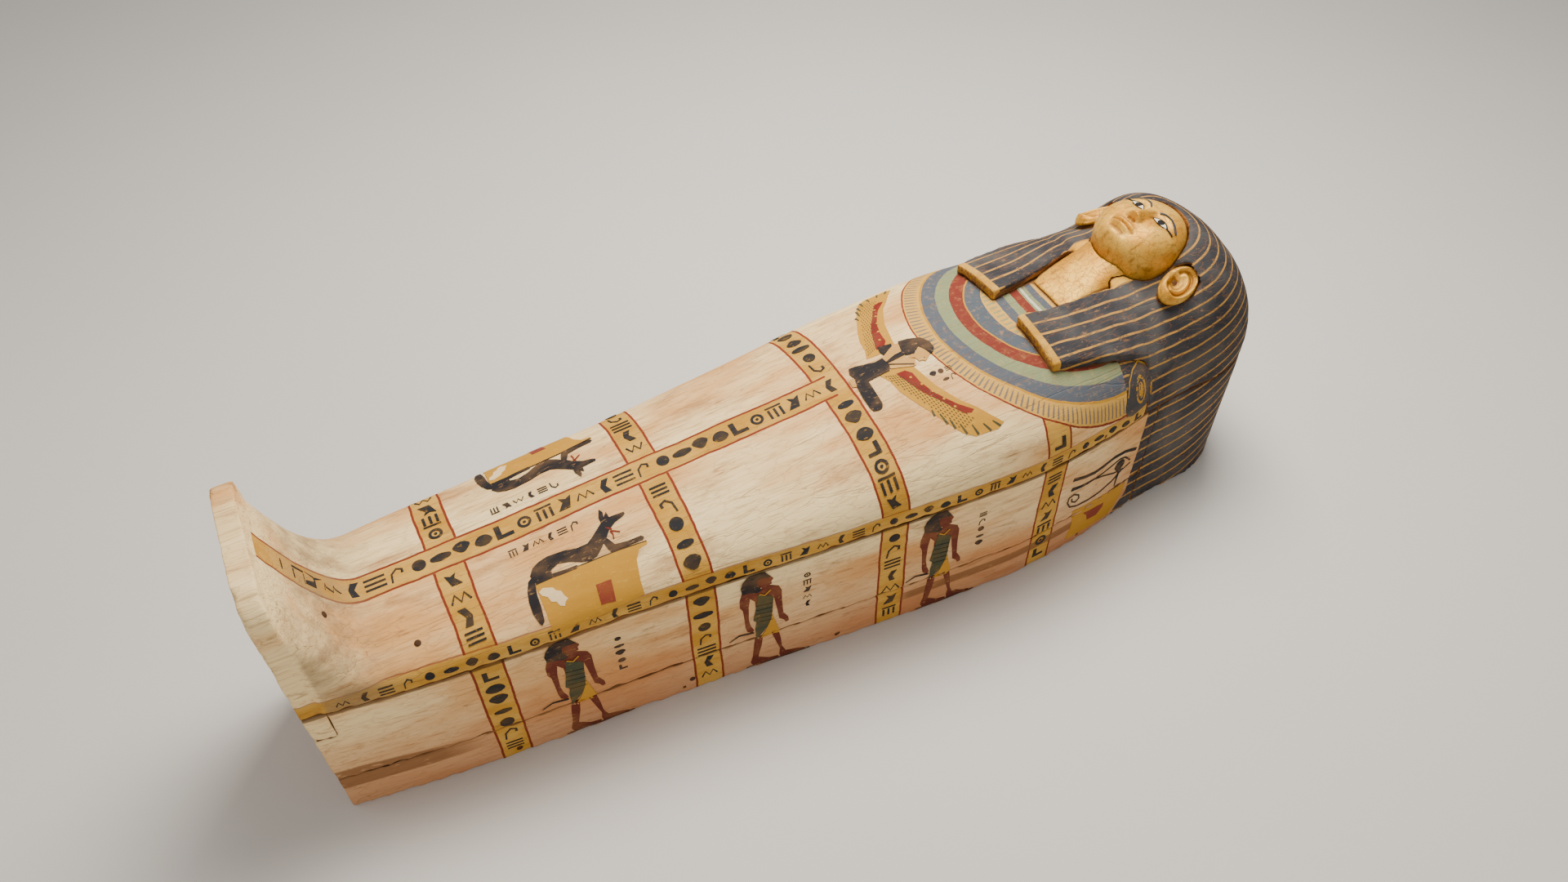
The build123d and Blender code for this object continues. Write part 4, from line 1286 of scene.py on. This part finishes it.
for side, label in ((-1, "left"), (1, "right")):
    for index, man_station in enumerate(man_stations):

        def on_panel(u, v, side=side, man_station=man_station):
            """The place on one side of the box, u towards the head and v up."""
            return on_side(box_skin, man_station + u, man_floor + v * 0.96, side)

        for layer, (part, shapes, finish) in enumerate(
            (
                ("man_body", man_body + man_limbs, skin_red),
                ("man_face", man_face, skin_red),
                ("man_tunic", man_tunic, cloth_green),
                ("man_kilt", man_kilt, shrine_yellow),
                ("man_folds", tunic_folds + ground_line, jackal_black),
                ("man_collar", man_collar, shrine_yellow),
                ("man_wig", man_wig, jackal_black),
            )
        ):
            painted(
                f"{part}_{index + 1}_{label}",
                moved(shapes, 0, 0, mm),
                lambda u, v, layer=layer: on_panel(u, v) + Vector((0, side * 0.0003 * layer, 0)),
                finish,
                "case_box",
            )
        captions = [(0.066, 0.238 - 0.022 * i) for i in range(5)]
        painted(
            f"man_caption_{index + 1}_{label}", row_of_signs(captions, index, 0.020, 0.0), on_panel, jackal_black, "case_box"
        )
print("figures on the box painted")

# %% [markdown]
# Behind the shoulder an eye looks out over a small shrine, so that the one who lies inside can
# see. The collar ends at each shoulder in an oval knob.

# %% Eye, shrine and collar ends
eye_station = 1.377
eye_brow = [stroke([(13, 217), (45, 206), (70, 201), (97, 205), (123, 209), (152, 206), (186, 192)], 8, 7)]
eye_lids = [
    stroke([(78, 179), (101, 182), (124, 187), (141, 192), (158, 186), (176, 166)], 2.4, 3.6),
    stroke([(14, 188), (34, 183), (58, 179), (74, 179)], 9, 3.5),
    stroke([(74, 179), (98, 172), (133, 156), (162, 149), (180, 156)], 3.5, 2.4),
]
eye_ball = [[disc(146, 171, 13, 1.1)]]
eye_drop = [
    stroke([(149, 160), (148, 129), (149, 104)], 8, 2),
    stroke([(160, 152), (134, 131), (103, 122), (69, 121), (39, 125), (20, 134), (11, 151), (13, 164), (25, 167),
            (38, 158), (41, 147), (33, 140), (23, 147), (21, 157)], 4, 3),
]
small_shrine = [[("straight", [(32, 112), (90, 104), (150, 92), (186, 90), (182, 60), (168, 30), (150, 14), (93, 19),
                               (32, 24), (39, 70)])]]
small_door = [[("straight", [(67, 82), (128, 70), (128, 58), (112, 44), (84, 50), (80, 66)])]]
collar_end = [[("round", [(-34, -38), (-32, 12), (-16, 38), (6, 44), (24, 32), (30, 6), (28, -30), (0, -40)])]]
collar_end_line = [stroke([(-34, 0), (-26, 24), (-12, 38), (6, 44), (22, 34), (29, 10), (28, -26)], 2.2, 2.2)]
knob_station = 1.534
for side, label in ((-1, "left"), (1, "right")):

    def behind_shoulder(u, v, side=side):
        """The place on the box behind the shoulder, u towards the head and v up."""
        return on_side(box_skin, eye_station + u, v, side)

    for layer, (part, shapes, finish) in enumerate(
        (
            ("small_shrine", small_shrine, shrine_yellow),
            ("small_shrine_door", small_door, door_red),
            ("eye", eye_brow + eye_lids + eye_ball + eye_drop, jackal_black),
        )
    ):
        painted(
            f"{part}_{label}",
            moved(shapes, 0, 0, mm),
            lambda u, v, layer=layer: behind_shoulder(u, v) + Vector((0, side * 0.0003 * layer, 0)),
            finish,
            "case_box",
        )

    def at_shoulder(u, v, side=side):
        """The place on the lid at the end of the collar."""
        return on_side(lid_skin, knob_station + u, 0.362 + v, side)

    painted(
        f"collar_end_{label}",
        moved(collar_end, 0, 0, mm),
        at_shoulder,
        collar_dark,
        "lid",
    )
    painted(
        f"collar_end_line_{label}",
        moved(collar_end_line, 0, 0, mm),
        lambda u, v: at_shoulder(u, v) + Vector((0, side * 0.0003, 0)),
        shrine_yellow,
        "lid",
    )
    painted(
        f"collar_knob_{label}",
        moved([[disc(0, 0, 13, 2.0), disc(0, 0, 9.5, 2.15)], [disc(0, 0, 6.5, 2.3)]], 0, 0, mm),
        at_shoulder,
        shrine_yellow,
        "lid",
    )

# %% [markdown]
# Eyes and brows are painted last. The white is an almond with a black spot, and the lids run on
# in a line towards the temple, as was the fashion in paint.


# %% Eyes of the face
def on_face(u, v):
    """The place on the face, u across and v towards the brow."""
    return on_top(face_skin, mask_middle.x + half_length + v, u)


almond = [[("round", [(15, 9), (22, 15), (32, 19), (42, 17), (50, 11), (42, 8), (32, 6.5), (22, 7)])]]
iris = [[disc(32, 12.6, 6.4)]]
lid_lines = [
    stroke([(13, 8.5), (22, 16), (32, 20), (42, 18), (51, 12), (66, 13)], 1.6, 3.4),
    stroke([(13, 8.5), (22, 6.5), (32, 5.6), (42, 7.2), (51, 12)], 1.2, 1.4),
]
brow = [stroke([(12, 26), (22, 32), (36, 34.5), (50, 30), (64, 23)], 3.0, 4.2)]
for side, label in ((1, "right"), (-1, "left")):
    for layer, (part, shapes, finish) in enumerate(
        (
            ("eye_white", almond, eye_white),
            ("eye_iris", iris, eye_black),
            ("eye_lids", lid_lines, eye_black),
            ("eye_brow", brow, brow_blue),
        )
    ):
        painted(
            f"{part}_{label}",
            moved(shapes, 0, 0, mm, mirror=side),
            lambda u, v, layer=layer: on_face(u, v) + Vector((0, 0, 0.0003 * layer)),
            finish,
            "lid",
            0.004,
        )
print("face painted")

# %% Peg ends that show in the photographed side
for label, place in (
    ("slope", on_top(lid_skin, 0.0895, -0.0637)),
    ("lid", on_side(lid_skin, 0.2007, 0.342, -1)),
    ("box", on_side(box_skin, 0.613, 0.036, -1)),
):
    plug = bmesh.new()
    bmesh.ops.create_uvsphere(plug, u_segments=20, v_segments=10, radius=0.0055)
    bmesh.ops.scale(plug, vec=(1, 1, 0.25), verts=plug.verts)
    skin = box_skin if label == "box" else lid_skin
    normal = skin.find_nearest(place)[1]
    lean = normal.to_track_quat("Z", "Y").to_matrix().to_4x4()
    bmesh.ops.transform(plug, matrix=Matrix.Translation(place) @ lean, verts=plug.verts)
    for plug_face in plug.faces:
        plug_face.smooth = True
    plug_mesh = bpy.data.meshes.new(f"peg_end_{label}")
    plug.to_mesh(plug_mesh)
    plug.free()
    plug_mesh.materials.append(peg_brown)
    peg_end = bpy.data.objects.new(f"peg_end_{label}", plug_mesh)
    bpy.context.collection.objects.link(peg_end)
    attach(peg_end, "case_box" if label == "box" else "lid")

# %% [markdown]
# The case rests on a plain pale floor, which belongs to the studio and not to the object.

# %% Floor
floor_shape = bmesh.new()
bmesh.ops.create_grid(floor_shape, x_segments=1, y_segments=1, size=14)
floor_mesh = bpy.data.meshes.new("studio_floor")
floor_shape.to_mesh(floor_mesh)
floor_shape.free()
studio_floor = bpy.data.objects.new("studio_floor", floor_mesh)
bpy.context.collection.objects.link(studio_floor)
floor_paint, floor_point = new_finish("floor_paint")
floor_cloud = cloudy(floor_point, (1.5, 1.5, 1.5), 2)
floor_colour = lay(floor_cloud, pigment(214, 211, 206), pigment(220, 217, 212))
settle(floor_paint, floor_colour, 0.80 + 0.1 * floor_cloud, floor_cloud, 0.0005, 0.1)
floor_mesh.materials.append(floor_paint)
